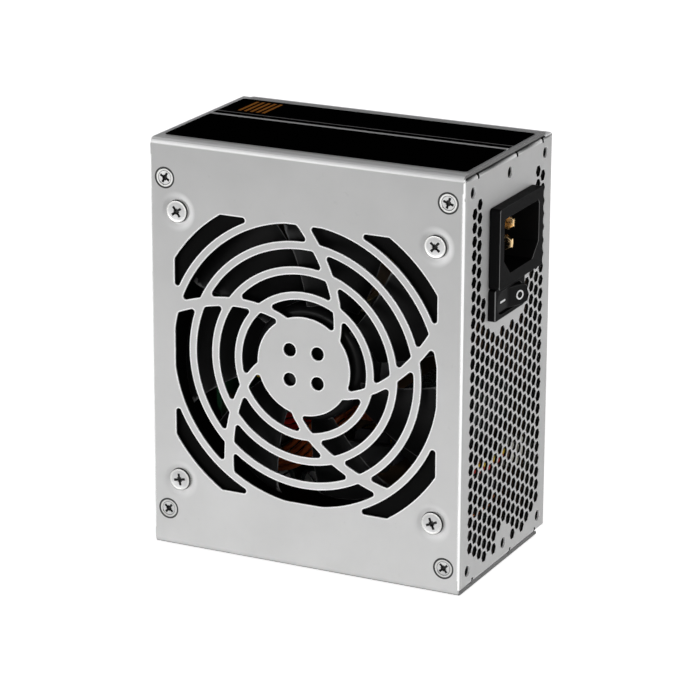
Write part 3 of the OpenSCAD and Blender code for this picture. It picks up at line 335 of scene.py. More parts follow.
def noise(tree, scale, detail=3, rough=0.55, stretch=None):
    point = addNode(tree, "TexCoord").outputs["Object"]
    if stretch:
        point = addNode(tree, "Mapping", None, Vector=point, Scale=stretch).outputs[0]
    return addNode(tree, "TexNoise", None, Vector=point, Scale=scale, Detail=detail,
                   Roughness=rough).outputs["Fac"]


def mixColour(tree, factor, first, second):
    return addNode(tree, "Mix", {"data_type": "RGBA"}, i0=factor, i6=first, i7=second).outputs[2]


def scaled(tree, colour, amount):
    return addNode(tree, "VectorMath", {"operation": "SCALE"}, i0=colour, Scale=amount).outputs[0]


def bump(tree, shader, height, distance, strength):
    node = addNode(tree, "Bump", None, Height=height, Distance=distance, Strength=strength)
    tree.links.new(node.outputs[0], shader.inputs["Normal"])
    return node.outputs[0]


def setShader(tree, shader, **values):
    names = {"colour": "Base Color", "metallic": "Metallic", "rough": "Roughness", "coat": "Coat Weight",
             "coatRough": "Coat Roughness", "specular": "Specular IOR Level", "normal": "Normal"}
    for key, value in values.items():
        fill(tree, shader.inputs[names[key]], value)


def edgeMask(tree, radius, start, end):
    # 1 along sharp edges and folds within the radius, 0 on open faces
    rounded = addNode(tree, "Bevel", {"samples": 6}, Radius=radius).outputs[0]
    plain = addNode(tree, "NewGeometry").outputs["True Normal"]
    dot = addNode(tree, "VectorMath", {"operation": "DOT_PRODUCT"}, i0=rounded, i1=plain).outputs["Value"]
    return above(tree, dot, start, end)


def placeOf(tree):
    # the surface's point, from the middle of the case's height, and the sizes of its parts and facing
    x, y, height = separate(tree, "Object")
    point = (x, y, maths(tree, "SUBTRACT", height, middleZ))
    facings = separate(tree, "Normal")
    return point, [maths(tree, "ABSOLUTE", v) for v in point], [maths(tree, "ABSOLUTE", v) for v in facings]


def fromScrews(tree, x, z, halfX, halfZ):
    # signed offsets from the nearest of four screws, and the distance to it
    dx = maths(tree, "SUBTRACT", x, times(tree, maths(tree, "SIGN", x), halfX))
    dz = maths(tree, "SUBTRACT", z, times(tree, maths(tree, "SIGN", z), halfZ))
    return dx, dz, distance(tree, dx, dz)


def behindFace(span):
    return [coverLow.y + depth for depth in span]


def underTop(span):
    return [middleZ - depth for depth in span]


def aboveFoot(span):
    return [height - middleZ for height in span]


# the steel sheets; the pairs of measures say where a change starts and where it is complete

# the white is painted on as highlights, and the flecks' grey is also painted as shade in the cover's dishes
steelLook = {"paintedHighlight": (1.0, 1.0, 1.0), "fleckAndPaintedShade": (0.42, 0.42, 0.42), "cloudScale": 55, "cloudDetail": 4,
             "grainScale": 1800, "grainRough": 0.7, "grain": 0.02 * mm, "grainStrength": 0.25,
             "fleckScale": 420, "fleckRange": (0.66, 0.82), "fleckDepth": 0.35, "rough": 0.42,
             "roughSpread": 0.05, "metallic": 0.12, "specular": 0.25}


def steelBase(name, look):
    # zinc-plated steel: faint cloudy plating, flecks and a fine grain
    material, tree, shader = startMaterial(name)
    clouds = spread(tree, noise(tree, look["cloudScale"], look["cloudDetail"]), 0.0, 1.0)
    grain = noise(tree, look["grainScale"], 2, look["grainRough"])
    colour = mixColour(tree, clouds, look["dark"], look["light"])
    flecks = noise(tree, look["fleckScale"], 3, look["grainRough"])
    flecks = spread(tree, flecks, 0.0, look["fleckDepth"], *look["fleckRange"])
    colour = mixColour(tree, flecks, colour, look["fleckAndPaintedShade"])
    rough = spread(tree, grain, look["rough"] - look["roughSpread"], look["rough"] + look["roughSpread"])
    setShader(tree, shader, rough=rough, metallic=look["metallic"], specular=look["specular"])
    normal = bump(tree, shader, grain, look["grain"], look["grainStrength"])
    return material, tree, shader, colour, normal


coverLook = {
    # the wall colour is the dark painted as shadow in gaps, on cut edges and on walls
    **steelLook, "light": (0.6, 0.6, 0.598), "dark": (0.555, 0.555, 0.553), "wall": (0.03, 0.03, 0.03),
    # painted light towards the front's foot and painted shade towards its top
    "front": (1.75 * mm, 1.8 * mm), "paintedLightLow": 1.09, "paintedShadeHigh": 0.77,
    # painted highlights along the edges of the slots, kept off the screws and the bends
    "edgeWidth": 0.75 * mm, "edgeRange": (0.999, 0.972), "paintedEdgeStrength": 1.0,
    "fanScrewClear": (5.8 * mm, 5.9 * mm), "caseScrewClear": (3.9 * mm, 4.0 * mm),
    "bendClear": (57.5 * mm, 57.6 * mm), "bendLine": (1.75 * mm, 1.35 * mm, 0.6 * mm, 0.35 * mm),
    # the cut ends of the front, with a painted highlight, and of the top, with painted shade; and painted shade
    # along the front's foot
    "cutFacing": (0.6, 0.75), "cutDepth": (0.85 * mm, 0.9 * mm), "cutFrom": (49.4 * mm, 49.5 * mm),
    "cutBelow": (2 * mm, 1.9 * mm), "sideFacing": (0.6, 0.8), "sideHeight": (1 * mm, 0.9 * mm),
    "sideShade": 0.93, "footHeight": (0.45 * mm, 0.9 * mm), "footShade": 0.75,
    # a painted highlight on the top's margins beside the label
    "topFacing": (0.6, 0.8), "topHeight": (1 * mm, 0.9 * mm), "marginDepth": (3 * mm, 5 * mm),
    "marginLeft": (-47 * mm, -46 * mm), "paintedMarginStrength": 0.9,
    # the dishes around the fan's screws, each with a painted highlight ring and painted shade
    "dishFull": 4.4 * mm, "dishEnd": 6.2 * mm, "dishEdge": 0.01 * mm, "dishFacing": (0.4, 0.5),
    "paintedDishShade": 0.3, "shadeFrom": (-1.3, -0.3), "dishSlope": 0.25,
    "slopeBand": (3.2 * mm, 4.2 * mm, 4.4 * mm),
    "haloBand": (3.4 * mm, 3.7 * mm, 4.2 * mm), "haloLean": 0.2, "haloFrom": (-0.7, 0.9), "haloLeast": 0.04,
    "haloLow": 0.35,
    # painted shadow in the gaps around the screws' heads, and painted shade on the walls of the slots
    "caseGap": (3.22 * mm, 3.27 * mm), "fanGap": (3.4 * mm, 3.45 * mm), "gapShade": 0.95,
    "wallFacing": (0.3, 0.5), "wallDepth": (0.3 * mm, 0.35 * mm), "wallSide": (48 * mm, 48.1 * mm),
}


def coverFinish(name, look):
    material, tree, shader, colour, normal = steelBase(name, look)
    (x, y, z), (ax, ay, az), (fx, fy, fz) = placeOf(tree)
    dx, dz, far = fromScrews(tree, x, z, fanScrewAt, fanScrewAt)
    onRight = maths(tree, "GREATER_THAN", x, 0.0)
    screwZ = maths(tree, "ADD", times(tree, onRight, rightScrewZ - leftScrewZ), leftScrewZ)
    nearScrew = fromScrews(tree, x, z, caseScrewX, screwZ)[2]
    front = below(tree, y, *behindFace(look["front"]))
    dish = times(tree, front, below(tree, far, look["dishFull"], look["dishEnd"]))
    # painted highlights: bright rims around the slots, a bright line along the top bend, the front's cut ends and
    # the top's margins
    rim = edgeMask(tree, look["edgeWidth"], *look["edgeRange"])
    openFace = times(tree, above(tree, far, *look["fanScrewClear"]), below(tree, az, *look["bendClear"]))
    rim = times(tree, rim, openFace, above(tree, nearScrew, *look["caseScrewClear"]))
    bend = times(tree, front, band(tree, z, *underTop(look["bendLine"])))
    cutFront = times(tree, above(tree, fx, *look["cutFacing"]), below(tree, y, *behindFace(look["cutDepth"])),
                     below(tree, az, *underTop(look["cutBelow"])), above(tree, ax, *look["cutFrom"]))
    nearEdge = largest(tree, below(tree, y, *behindFace(look["marginDepth"])),
                       below(tree, x, *look["marginLeft"]))
    margin = times(tree, above(tree, fz, *look["topFacing"]), above(tree, z, *underTop(look["topHeight"])),
                   nearEdge)
    paintedShine = largest(tree, rim, bend, cutFront, times(tree, margin, look["paintedMarginStrength"]))
    # painted shade: the front is painted darker towards its top, and painted lighter towards its foot
    paintedFade = ramp(tree, z, -middleZ, middleZ, look["paintedLightLow"], look["paintedShadeHigh"])
    colour = scaled(tree, colour, ramp(tree, front, 0.0, 1.0, 1.0, paintedFade))
    # painted highlight: each dish is painted bright to the right of its screw, less so towards the foot, and
    # painted shade makes it darker to the lower left
    lean = maths(tree, "DIVIDE", maths(tree, "ADD", dx, times(tree, dz, look["haloLean"])), far)
    glow = ramp(tree, lean, *look["haloFrom"], look["haloLeast"], 1.0)
    brightening = ramp(tree, z, -middleZ, middleZ, look["haloLow"], 1.0)
    halo = times(tree, glow, brightening, front, band(tree, far, *look["haloBand"], look["dishEnd"]))
    paintedShine = largest(tree, paintedShine, halo)
    colour = mixColour(tree, times(tree, paintedShine, look["paintedEdgeStrength"]), colour, look["paintedHighlight"])
    low = maths(tree, "DIVIDE", maths(tree, "ADD", dx, dz), far)
    paintedLowerShade = times(tree, dish, below(tree, low, *look["shadeFrom"]), look["paintedDishShade"])
    colour = mixColour(tree, paintedLowerShade, colour, look["fleckAndPaintedShade"])
    # painted shadow: the gaps around the screws, the top's and the foot's cut edges are painted dark
    gap = largest(tree, below(tree, nearScrew, *look["caseGap"]), below(tree, far, *look["fanGap"]))
    cut = times(tree, above(tree, fx, *look["sideFacing"]), above(tree, az, *underTop(look["sideHeight"])),
                look["sideShade"])
    under = times(tree, front, below(tree, z, *aboveFoot(look["footHeight"])), look["footShade"])
    gap = largest(tree, times(tree, gap, front), cut, under)
    colour = mixColour(tree, times(tree, gap, look["gapShade"]), colour, look["wall"])
    # painted shade: the slots' walls are painted dark behind their painted bright rims
    paintedWallShade = times(tree, below(tree, fy, *look["wallFacing"]), above(tree, y, *behindFace(look["wallDepth"])),
                  openFace, below(tree, ax, *look["wallSide"]))
    colour = mixColour(tree, paintedWallShade, colour, look["wall"])
    # a dish's shading slopes smoothly towards its screw
    slope = times(tree, dish, band(tree, far, *look["slopeBand"], look["dishEnd"]), look["dishSlope"])
    unit = maths(tree, "DIVIDE", slope, far)
    tilt = addNode(tree, "CombineXYZ", None, i0=times(tree, dx, unit, -1.0), i1=-1.0,
                   i2=times(tree, dz, unit, -1.0)).outputs[0]
    tilt = addNode(tree, "VectorMath", {"operation": "NORMALIZE"}, i0=tilt).outputs[0]
    inDish = times(tree, front, below(tree, far, look["dishEnd"], look["dishEnd"] + look["dishEdge"]),
                   above(tree, fy, *look["dishFacing"]))
    normal = addNode(tree, "Mix", {"data_type": "VECTOR"}, i0=inDish, i4=normal, i5=tilt).outputs[1]
    setShader(tree, shader, colour=colour, metallic=largest(tree, cutFront, look["metallic"]), normal=normal)
    return material


shellLook = {
    # the wall colour is the dark painted as shade on the hole walls and the top bend
    **steelLook, "light": (0.56, 0.56, 0.558), "dark": (0.5, 0.5, 0.498), "wall": (0.012, 0.012, 0.012),
    "paintedShadeHigh": 0.82,
    # painted highlights on the rims of the panel's openings, kept off its bends
    "edgeWidth": 0.4 * mm, "edgeRange": (0.998, 0.95), "paintedRimStrength": 0.5, "panelInset": 1.5 * mm,
    "panelEdge": 0.01 * mm,
    # the front bend, painted as a bright highlight but for its nicks
    "stripFrom": (48.4 * mm, 48.5 * mm), "stripDepth": (1.35 * mm, 1.6 * mm), "nickScale": 300,
    "nicks": (0.27, 0.3), "paintedEdgeStrength": 1.0,
    # painted shadow on the top bend, and a painted highlight on the strips behind the cover
    "lipFrom": (48 * mm, 48.1 * mm), "lipHeight": (2.2 * mm, 1.7 * mm), "lipShade": 0.97,
    "stripBehind": (0.3 * mm, 0.5 * mm), "stripFacing": (0.5, 0.7),
    # the walls of the openings: painted shade below a rim, but a painted highlight in the mounting holes
    "wallFacing": (0.3, 0.5), "rimDepth": 0.14 * mm, "mountDepth": 0.6 * mm,
    "wallDepth": (3.2 * mm, 3.3 * mm), "mountRadius": (2.2 * mm, 2.3 * mm), "mountSide": (40 * mm, 41 * mm),
}


def shellFinish(name, look):
    material, tree, shader, colour = steelBase(name, look)[:4]
    (x, y, z), (ax, ay, az), (fx, fy, fz) = placeOf(tree)
    rim = edgeMask(tree, look["edgeWidth"], *look["edgeRange"])
    edgeY, edgeZ = shellHigh.y - look["panelInset"], middleZ - look["panelInset"]
    inPanel = times(tree, below(tree, ay, edgeY, edgeY + look["panelEdge"]),
                    below(tree, az, edgeZ, edgeZ + look["panelEdge"]))
    strip = times(tree, above(tree, x, *look["stripFrom"]), below(tree, y, *behindFace(look["stripDepth"])))
    nicks = above(tree, noise(tree, look["nickScale"], 2, 0.5), *look["nicks"])
    paintedShine = largest(tree, times(tree, rim, inPanel, look["paintedRimStrength"]),
                    times(tree, strip, nicks, look["paintedEdgeStrength"]))
    # painted shadow: the bend into the top is painted dark as the cover's shadow, and painted highlight: the
    # strips behind the cover are painted paler
    lip = times(tree, above(tree, ax, *look["lipFrom"]), above(tree, z, *underTop(look["lipHeight"])))
    colour = mixColour(tree, times(tree, lip, look["lipShade"]), colour, look["wall"])
    paintedBackStrip = times(tree, above(tree, y, *[coverHigh.y + depth for depth in look["stripBehind"]]),
                      above(tree, fz, *look["stripFacing"]))
    # painted shade: the panel is painted darker towards its top
    colour = scaled(tree, colour, ramp(tree, z, 0.0, middleZ, 1.0, look["paintedShadeHigh"]))
    colour = mixColour(tree, largest(tree, paintedShine, paintedBackStrip), colour, look["paintedHighlight"])
    # painted highlight on the walls of the mounting holes, and painted shade on the walls of the panel's holes
    # below their rims
    offY = maths(tree, "ABSOLUTE", maths(tree, "SUBTRACT", ay, mountAt[0]))
    offY = maths(tree, "MINIMUM", offY, ay)
    near = distance(tree, offY, maths(tree, "SUBTRACT", az, mountAt[1]))
    atMount = times(tree, below(tree, near, *look["mountRadius"]), above(tree, x, *look["mountSide"]))
    inWall = below(tree, fx, *look["wallFacing"])
    colour = mixColour(tree, times(tree, inWall, atMount), colour, look["paintedHighlight"])
    depth = maths(tree, "SUBTRACT", caseHalf, ax)
    start = times(tree, atMount, look["mountDepth"] - look["rimDepth"])
    deep = maths(tree, "GREATER_THAN", depth, maths(tree, "ADD", start, look["rimDepth"]))
    paintedWallShade = times(tree, inWall, inPanel, deep, below(tree, depth, *look["wallDepth"]))
    colour = mixColour(tree, paintedWallShade, colour, look["wall"])
    metallic = largest(tree, times(tree, strip, nicks), look["metallic"])
    setShader(tree, shader, colour=colour, metallic=metallic)
    return material


# the screws' bright plated steel, with turned rings

screwSteelLook = {"light": (0.66, 0.66, 0.65), "dark": (0.44, 0.44, 0.43), "grainScale": 2600,
                  "grain": 0.01 * mm, "grainStrength": 0.3, "stainScale": 900, "rough": (0.25, 0.38),
                  "metallic": 0.9, "specular": 0.6}


def screwFinish(name, look):
    material, tree, shader = startMaterial(name)
    fine = noise(tree, look["grainScale"], 3, 0.6)
    colour = mixColour(tree, fine, look["dark"], look["light"])
    rough = spread(tree, noise(tree, look["stainScale"], 2), *look["rough"])
    setShader(tree, shader, colour=colour, rough=rough, metallic=look["metallic"], specular=look["specular"])
    bump(tree, shader, fine, look["grain"], look["grainStrength"])
    return material


# moulded plastic: slight colour drift, eroded grain, uneven gloss, and a painted highlight along sharp edges where
# asked

plasticLook = {"driftScale": 70, "speckle": 0.06, "lift": 0.002, "grainRough": 0.6, "grainStrength": 0.5,
               "roughSpread": 0.06, "leastRough": 0.05, "coatRough": 0.15, "edge": (0.97, 0.8),
               "paintedEdgeLight": (0.8, 0.8, 0.8)}


def glossOf(tree, grain, rough, look):
    # a grain turned into an uneven roughness around rough
    change = look["roughSpread"]
    return spread(tree, grain, max(look["leastRough"], rough - change), rough + change)


def plasticFinish(name, colour, rough, grainScale=1500, grain=0.015, specular=0.4, coat=0.0, edge=None):
    look = plasticLook
    material, tree, shader = startMaterial(name)
    drift = noise(tree, look["driftScale"], 3)
    fine = noise(tree, grainScale, 2, look["grainRough"])
    low = [c * (1 - look["speckle"]) for c in colour]
    high = [min(1, c * (1 + look["speckle"]) + look["lift"]) for c in colour]
    base = mixColour(tree, drift, low, high)
    # painted highlight along the sharp edges
    if edge:
        radius, strength = edge
        mask = times(tree, edgeMask(tree, radius, *look["edge"]), strength)
        base = mixColour(tree, mask, base, look["paintedEdgeLight"])
    setShader(tree, shader, colour=base, rough=glossOf(tree, fine, rough, look), specular=specular, coat=coat,
              coatRough=look["coatRough"])
    bump(tree, shader, fine, grain * mm, look["grainStrength"])
    return material


# the inlet's black moulding: painted highlights along its edges, most on the side towards the fan, faces towards
# the fan painted a little lighter, and scuffs

inletLook = {"dark": (0.003, 0.003, 0.0033), "light": (0.005, 0.005, 0.0053), "front": (0.009, 0.009, 0.0095),
             "brightening": (0.8, 0.8, 0.8), "edgeBand": (0.2, 0.4, 0.8, 0.95), "edgeTurn": (-0.6, -0.2),
             "edgeLight": 0.3, "edgeDim": 0.03, "frontTurn": (-0.7, -0.5), "scuffScale": 420,
             "scuffRange": (0.72, 0.76), "scuff": 0.015, "grainScale": 1500,
             "grain": 0.015 * mm, "rough": 0.42, "specular": 0.01}
rockerPlasticLook = {**inletLook, "edgeLight": 0.05, "edgeDim": 0.02, "rough": 0.36, "specular": 0.03}


def inletFinish(name, look):
    material, tree, shader = startMaterial(name)
    fx, fy, fz = separate(tree, "Normal")
    edge = band(tree, fx, *look["edgeBand"])
    side = ramp(tree, fy, *look["edgeTurn"], look["edgeLight"], look["edgeDim"])
    fine = noise(tree, look["grainScale"], 2, plasticLook["grainRough"])
    scuffs = above(tree, noise(tree, look["scuffScale"], 3, 0.7), *look["scuffRange"])
    base = mixColour(tree, noise(tree, plasticLook["driftScale"], 3), look["dark"], look["light"])
    # painted light: faces towards the fan are painted lighter
    base = mixColour(tree, below(tree, fy, *look["frontTurn"]), base, look["front"])
    # painted highlight on the edges; the same pale colour also makes the real scuffs
    base = mixColour(tree, times(tree, edge, side), base, look["brightening"])
    base = mixColour(tree, times(tree, scuffs, look["scuff"]), base, look["brightening"])
    gloss = glossOf(tree, fine, look["rough"], plasticLook)
    setShader(tree, shader, colour=base, rough=gloss, specular=look["specular"])
    bump(tree, shader, fine, look["grain"], plasticLook["grainStrength"])
    return material


# drawn, rolled or cast metal; stretch makes the brushed lines

metalLook = {"stainScale": 120, "stain": 0.55, "roughSpread": 0.1, "leastRough": 0.05,
             "grain": 0.015 * mm, "grainStrength": 0.4}


def metalFinish(name, colour, rough, stretch=(1, 1, 1), scale=900, tarnish=0.12, metallic=1.0):
    look = metalLook
    material, tree, shader = startMaterial(name)
    lines = noise(tree, scale, 3, 0.6, stretch)
    stain = spread(tree, noise(tree, look["stainScale"], 3), 0, tarnish)
    base = mixColour(tree, stain, colour, [c * look["stain"] for c in colour])
    setShader(tree, shader, colour=base, rough=glossOf(tree, lines, rough, look), metallic=metallic)
    bump(tree, shader, lines, look["grain"], look["grainStrength"])
    return material


# the label on the top: black film, two silver lines along it and a plain barred patch

labelLook = {"film": (0.001, 0.001, 0.001), "silver": (0.75, 0.75, 0.75), "bronze": (0.62, 0.24, 0.05),
             "lines": ((2.3 * mm, 0.8 * mm, 1.0), (6.0 * mm, 0.25 * mm, 0.45)),
             "patch": (-38.4 * mm, 14.7 * mm, 5 * mm, 6.1 * mm), "barPitch": 2.0 * mm, "barWidth": 1.05 * mm,
             "dotScale": 1500, "dotShade": 0.7, "grainScale": 2500, "rough": (0.42, 0.55), "specular": 0.0}
ratingLook = {"film": (0.78, 0.78, 0.77), "ink": (0.03, 0.03, 0.03), "halfX": 38.5 * mm, "halfZ": 41 * mm,
              "line": 0.16 * mm, "rowPitch": 5.125 * mm, "rowsBelow": 10.4 * mm, "column": -14 * mm,
              "bar": (0, 29 * mm, 28 * mm, 3.2 * mm), "driftScale": 60, "drift": 0.93, "grainScale": 2200,
              "rough": (0.4, 0.52), "specular": 0.3}
filmGrain = {"height": 0.004 * mm, "strength": 0.3}


def filmSurface(tree, shader, colour, look):
    fine = noise(tree, look["grainScale"], 2)
    rough = spread(tree, fine, *look["rough"])
    setShader(tree, shader, colour=colour, rough=rough, specular=look["specular"])
    bump(tree, shader, fine, filmGrain["height"], filmGrain["strength"])


def patch(tree, x, y, middleX, middleY, halfX, halfY):
    return times(tree, within(tree, x, middleX, halfX), within(tree, y, middleY, halfY))


def labelFinish(name, look):
    material, tree, shader = startMaterial(name)
    x, y, z = separate(tree, "Object")
    colour = look["film"]
    for middle, half, strength in look["lines"]:
        colour = mixColour(tree, times(tree, within(tree, y, middle, half), strength), colour, look["silver"])
    bars = maths(tree, "LESS_THAN", maths(tree, "PINGPONG", x, look["barPitch"] / 2), look["barWidth"] / 2)
    dots = noise(tree, look["dotScale"], 2)
    bronze = mixColour(tree, dots, look["bronze"], [c * look["dotShade"] for c in look["bronze"]])
    colour = mixColour(tree, times(tree, patch(tree, x, y, *look["patch"]), bars), colour, bronze)
    filmSurface(tree, shader, colour, look)
    return material


def ratingFinish(name, look):
    # a bare film with ruled rows, a frame and an empty bar
    material, tree, shader = startMaterial(name)
    x, y, height = separate(tree, "Object")
    z = maths(tree, "SUBTRACT", height, middleZ)
    line = look["line"]
    inFrame = patch(tree, x, z, 0, 0, look["halfX"], look["halfZ"])
    deep = patch(tree, x, z, 0, 0, look["halfX"] - 2 * line, look["halfZ"] - 2 * line)
    border = maths(tree, "SUBTRACT", inFrame, deep)
    row = maths(tree, "LESS_THAN", maths(tree, "PINGPONG", z, look["rowPitch"] / 2), line)
    column = within(tree, x, look["column"], line)
    table = times(tree, largest(tree, row, column), inFrame, maths(tree, "LESS_THAN", z, look["rowsBelow"]))
    bar = patch(tree, x, z, *look["bar"])
    film = mixColour(tree, noise(tree, look["driftScale"], 3), look["film"],
                     [c * look["drift"] for c in look["film"]])
    colour = mixColour(tree, largest(tree, border, table, bar), film, look["ink"])
    filmSurface(tree, shader, colour, look)
    return material


# every finish by the name of the record's slot it stands for

finishes = {
    "shell_steel": shellFinish("shellSteel", shellLook),
    "cover_steel": coverFinish("coverSteel", coverLook),
    "bright_screws": screwFinish("screwSteel", screwSteelLook),
    "black_label": labelFinish("labelFilm", labelLook),
    "pale_label": ratingFinish("paleFilm", ratingLook),
    "inlet_plastic": inletFinish("inletPlastic", inletLook),
    "rocker_plastic": inletFinish("rockerPlastic", rockerPlasticLook),
    "fan_plastic": plasticFinish("fanPlastic", (0.0018, 0.0018, 0.0018), 0.5, specular=0.025),
    # the blades' edges get a painted highlight
    "blade_plastic": plasticFinish("bladePlastic", (0.003, 0.003, 0.0032), 0.34, specular=0.07,
                                   edge=(0.35 * mm, 0.1)),
    "socket_plastic": plasticFinish("socketPlastic", (0.006, 0.006, 0.006), 0.45, specular=0.25),
    "glass_fuse": plasticFinish("glassFuse", (0.5, 0.45, 0.36), 0.12, coat=1.0),
    "ferrite": plasticFinish("ferrite", (0.035, 0.035, 0.037), 0.55, 2200, 0.03),
}

plainPlastics = {
    "green_board": ("greenBoard", (0.006, 0.045, 0.018), 0.35),
    "tan_board": ("tanBoard", (0.1, 0.055, 0.025), 0.45),
    "magnet_rubber": ("magnetRubber", (0.02, 0.02, 0.02), 0.7),
    "red_insulation": ("redInsulation", (0.52, 0.018, 0.012), 0.36),
    "orange_insulation": ("orangeInsulation", (0.3, 0.06, 0.008), 0.36),
    "yellow_insulation": ("yellowInsulation", (0.75, 0.5, 0.02), 0.36),
    "black_insulation": ("blackInsulation", (0.014, 0.014, 0.014), 0.36),
    "brown_insulation": ("brownInsulation", (0.09, 0.03, 0.014), 0.36),
    "green_insulation": ("greenInsulation", (0.03, 0.2, 0.03), 0.36),
    "white_nylon": ("whiteNylon", (0.72, 0.7, 0.62), 0.4),
    "insulating_film": ("insulatingFilm", (0.3, 0.3, 0.26), 0.3),
    "yellow_film": ("yellowFilm", (0.3, 0.2, 0.03), 0.3),
    "blue_ceramic": ("blueCeramic", (0.02, 0.1, 0.35), 0.3),
    "dark_ceramic": ("darkCeramic", (0.03, 0.035, 0.03), 0.4),
    "powder_core": ("powderCore", (0.16, 0.13, 0.02), 0.5),
    "black_epoxy": ("blackEpoxy", (0.015, 0.015, 0.016), 0.5),
    "capacitor_can": ("capacitorSleeve", (0.02, 0.03, 0.028), 0.25),
}

metals = {
    "bearing_bronze": ("bearingBronze", (0.5, 0.36, 0.2), 0.4),
    "lamination_steel": ("laminations", (0.3, 0.3, 0.31), 0.5, (1, 1, 30)),
    "copper_wire": ("enamelledCopper", (0.3, 0.1, 0.035), 0.3),
    "shaft_steel": ("groundSteel", (0.6, 0.6, 0.6), 0.22, (1, 1, 20)),
    "brass_contacts": ("goldBrass", (0.9, 0.64, 0.34), 0.22),
    "tinned_brass": ("tinnedBrass", (0.7, 0.68, 0.62), 0.3),
    "sink_aluminium": ("sinkAluminium", (0.72, 0.73, 0.74), 0.35, (1, 20, 1)),
}

for slot, values in plainPlastics.items():
    finishes[slot] = plasticFinish(*values)
for slot, values in metals.items():
    finishes[slot] = metalFinish(*values)

plainBrass = metalFinish("plainBrass", (0.5, 0.42, 0.26), 0.4)
brassNodes = ("board_standoffs", "socket_spacers")
slotOf = {part["node"]: part["material_slot"] for part in frame["record"]["subparts"]}


def dressNode(node):
    materials = nodes[node].data.materials
    materials.clear()
    materials.append(plainBrass if node in brassNodes else finishes[slotOf[node]])


for node in nodes:
    dressNode(node)
print("finishes on", len(nodes), "nodes")


# the camera, on the view that the object is shown from

cameraView = {"azimuth": 26.04, "elevation": 17.71, "roll": 0.268, "distance": 0.9891, "lens": 171.21,
              "sensor": 36, "clipEnd": 20, "target": (-0.595 * mm, 0, 58.48 * mm)}


def wayFrom(azimuth, elevation):
    # the direction from the object towards a place around it
    a, e = math.radians(azimuth), math.radians(elevation)
    return Vector((math.sin(a) * math.cos(e), -math.cos(a) * math.cos(e), math.sin(e)))


def addCamera(view):
    a, r = math.radians(view["azimuth"]), math.radians(view["roll"])
    back = wayFrom(view["azimuth"], view["elevation"])
    right = Vector((math.cos(a), math.sin(a), 0))
    up = back.cross(right)
    rolledRight = right * math.cos(r) + up * math.sin(r)
    rolledUp = up * math.cos(r) - right * math.sin(r)
    data = bpy.data.cameras.new("camera")
    data.lens = view["lens"]
    data.sensor_width = view["sensor"]
    data.clip_end = view["clipEnd"]
    camera = bpy.data.objects.new("camera", data)
    camera.matrix_world = axes(rolledRight, rolledUp, back, Vector(view["target"]) + back * view["distance"])
    bpy.context.scene.collection.objects.link(camera)
    bpy.context.scene.camera = camera


addCamera(cameraView)
print("camera")


# soft rounding of the CAD nodes' edges

edgeLook = {"weld": 0.002 * mm, "flatAngle": 0.6, "segments": 2, "angle": 35}
edgeWidths = {
    0.1 * mm: ("supervisor_board", "socket_board"),
    0.12 * mm: ("base_shell", "output_contacts"),
    0.15 * mm: ("primary_heatsink", "secondary_heatsink", "main_board", "switch_terminals"),
    0.16 * mm: ("fan_cover",),
    0.2 * mm: ("fan_frame", "board_standoffs", "socket_spacers"),
    0.25 * mm: ("primary_transistors", "secondary_rectifiers"),
    0.3 * mm: ("fan_plug", "bridge_rectifier"),
    0.35 * mm: ("inlet_housing",),
    0.4 * mm: ("standby_core",),
    0.5 * mm: ("transformer_core",),
    0.6 * mm: ("x_capacitor",),
    0.8 * mm: ("line_choke_core", "pfc_choke_core", "output_choke_core"),
}


def softenEdges(node, width, look):
    obj = nodes[node]
    weld = obj.modifiers.new("weld", "WELD")
    weld.merge_threshold = look["weld"]
    flat = obj.modifiers.new("flat", "DECIMATE")
    flat.decimate_type = "DISSOLVE"
    flat.angle_limit = math.radians(look["flatAngle"])
    bevel = obj.modifiers.new("bevel", "BEVEL")
    bevel.width = width
    bevel.segments = look["segments"]
    bevel.limit_method = "ANGLE"
    bevel.angle_limit = math.radians(look["angle"])
    bevel.harden_normals = True
    bevel.use_clamp_overlap = True


for width, group in edgeWidths.items():
    for node in group:
        softenEdges(node, width, edgeLook)
print("edges softened")


# screws: a head with a cross recess, and a shank

screwLook = {"steps": 64, "smoothAngle": 30, "crossWidth": 1.0 * mm, "crossDepth": 0.95 * mm, "tip": 0.8,
             "root": (1.25, 0.75), "tickReach": 1.6, "tickWidth": 0.8, "narrowing": (0.5, 0.6),
             "overshoot": 0.5}
# painted shade: near-black steel for the cross recesses and the rings around the heads
paintedRecessShade = metalFinish("paintedShadeSteel", (0.012, 0.012, 0.012), 0.6, metallic=0.3)
headFinish = metalFinish("turnedSteel", (0.55, 0.55, 0.55), 0.5, scale=500, tarnish=0.5, metallic=0.6)


def crossRecess(matrix, span, look):
    # a tapered pit with four arms and four short ones between them, as a solid to cut out of the head
    bm = bmesh.new()
    rootFar, rootNear = look["root"]

    def outline(half, arm, level):
        ring = []
        tick = arm * look["tickReach"]
        shape = ((half, -arm * look["tip"]), (half, arm * look["tip"]), (arm * rootFar, arm * rootNear),
                 (tick, tick * look["tickWidth"]), (tick * look["tickWidth"], tick),
                 (arm * rootNear, arm * rootFar))
        for turn in turns(4):
            c, s = math.cos(turn), math.sin(turn)
            ring += [bm.verts.new(matrix @ Vector((x * c - y * s, x * s + y * c, level))) for x, y in shape]
        return ring
    half, arm, depth = span / 2, look["crossWidth"] / 2, look["crossDepth"]
    across, along = look["narrowing"]
    skin(bm, [outline(half, arm, depth * look["overshoot"]), outline(half, arm, 0),
              outline(half * across, arm * along, -depth)])
    bmesh.ops.recalc_face_normals(bm, faces=bm.faces)
    return linkObject("pit", bm, [paintedRecessShade])


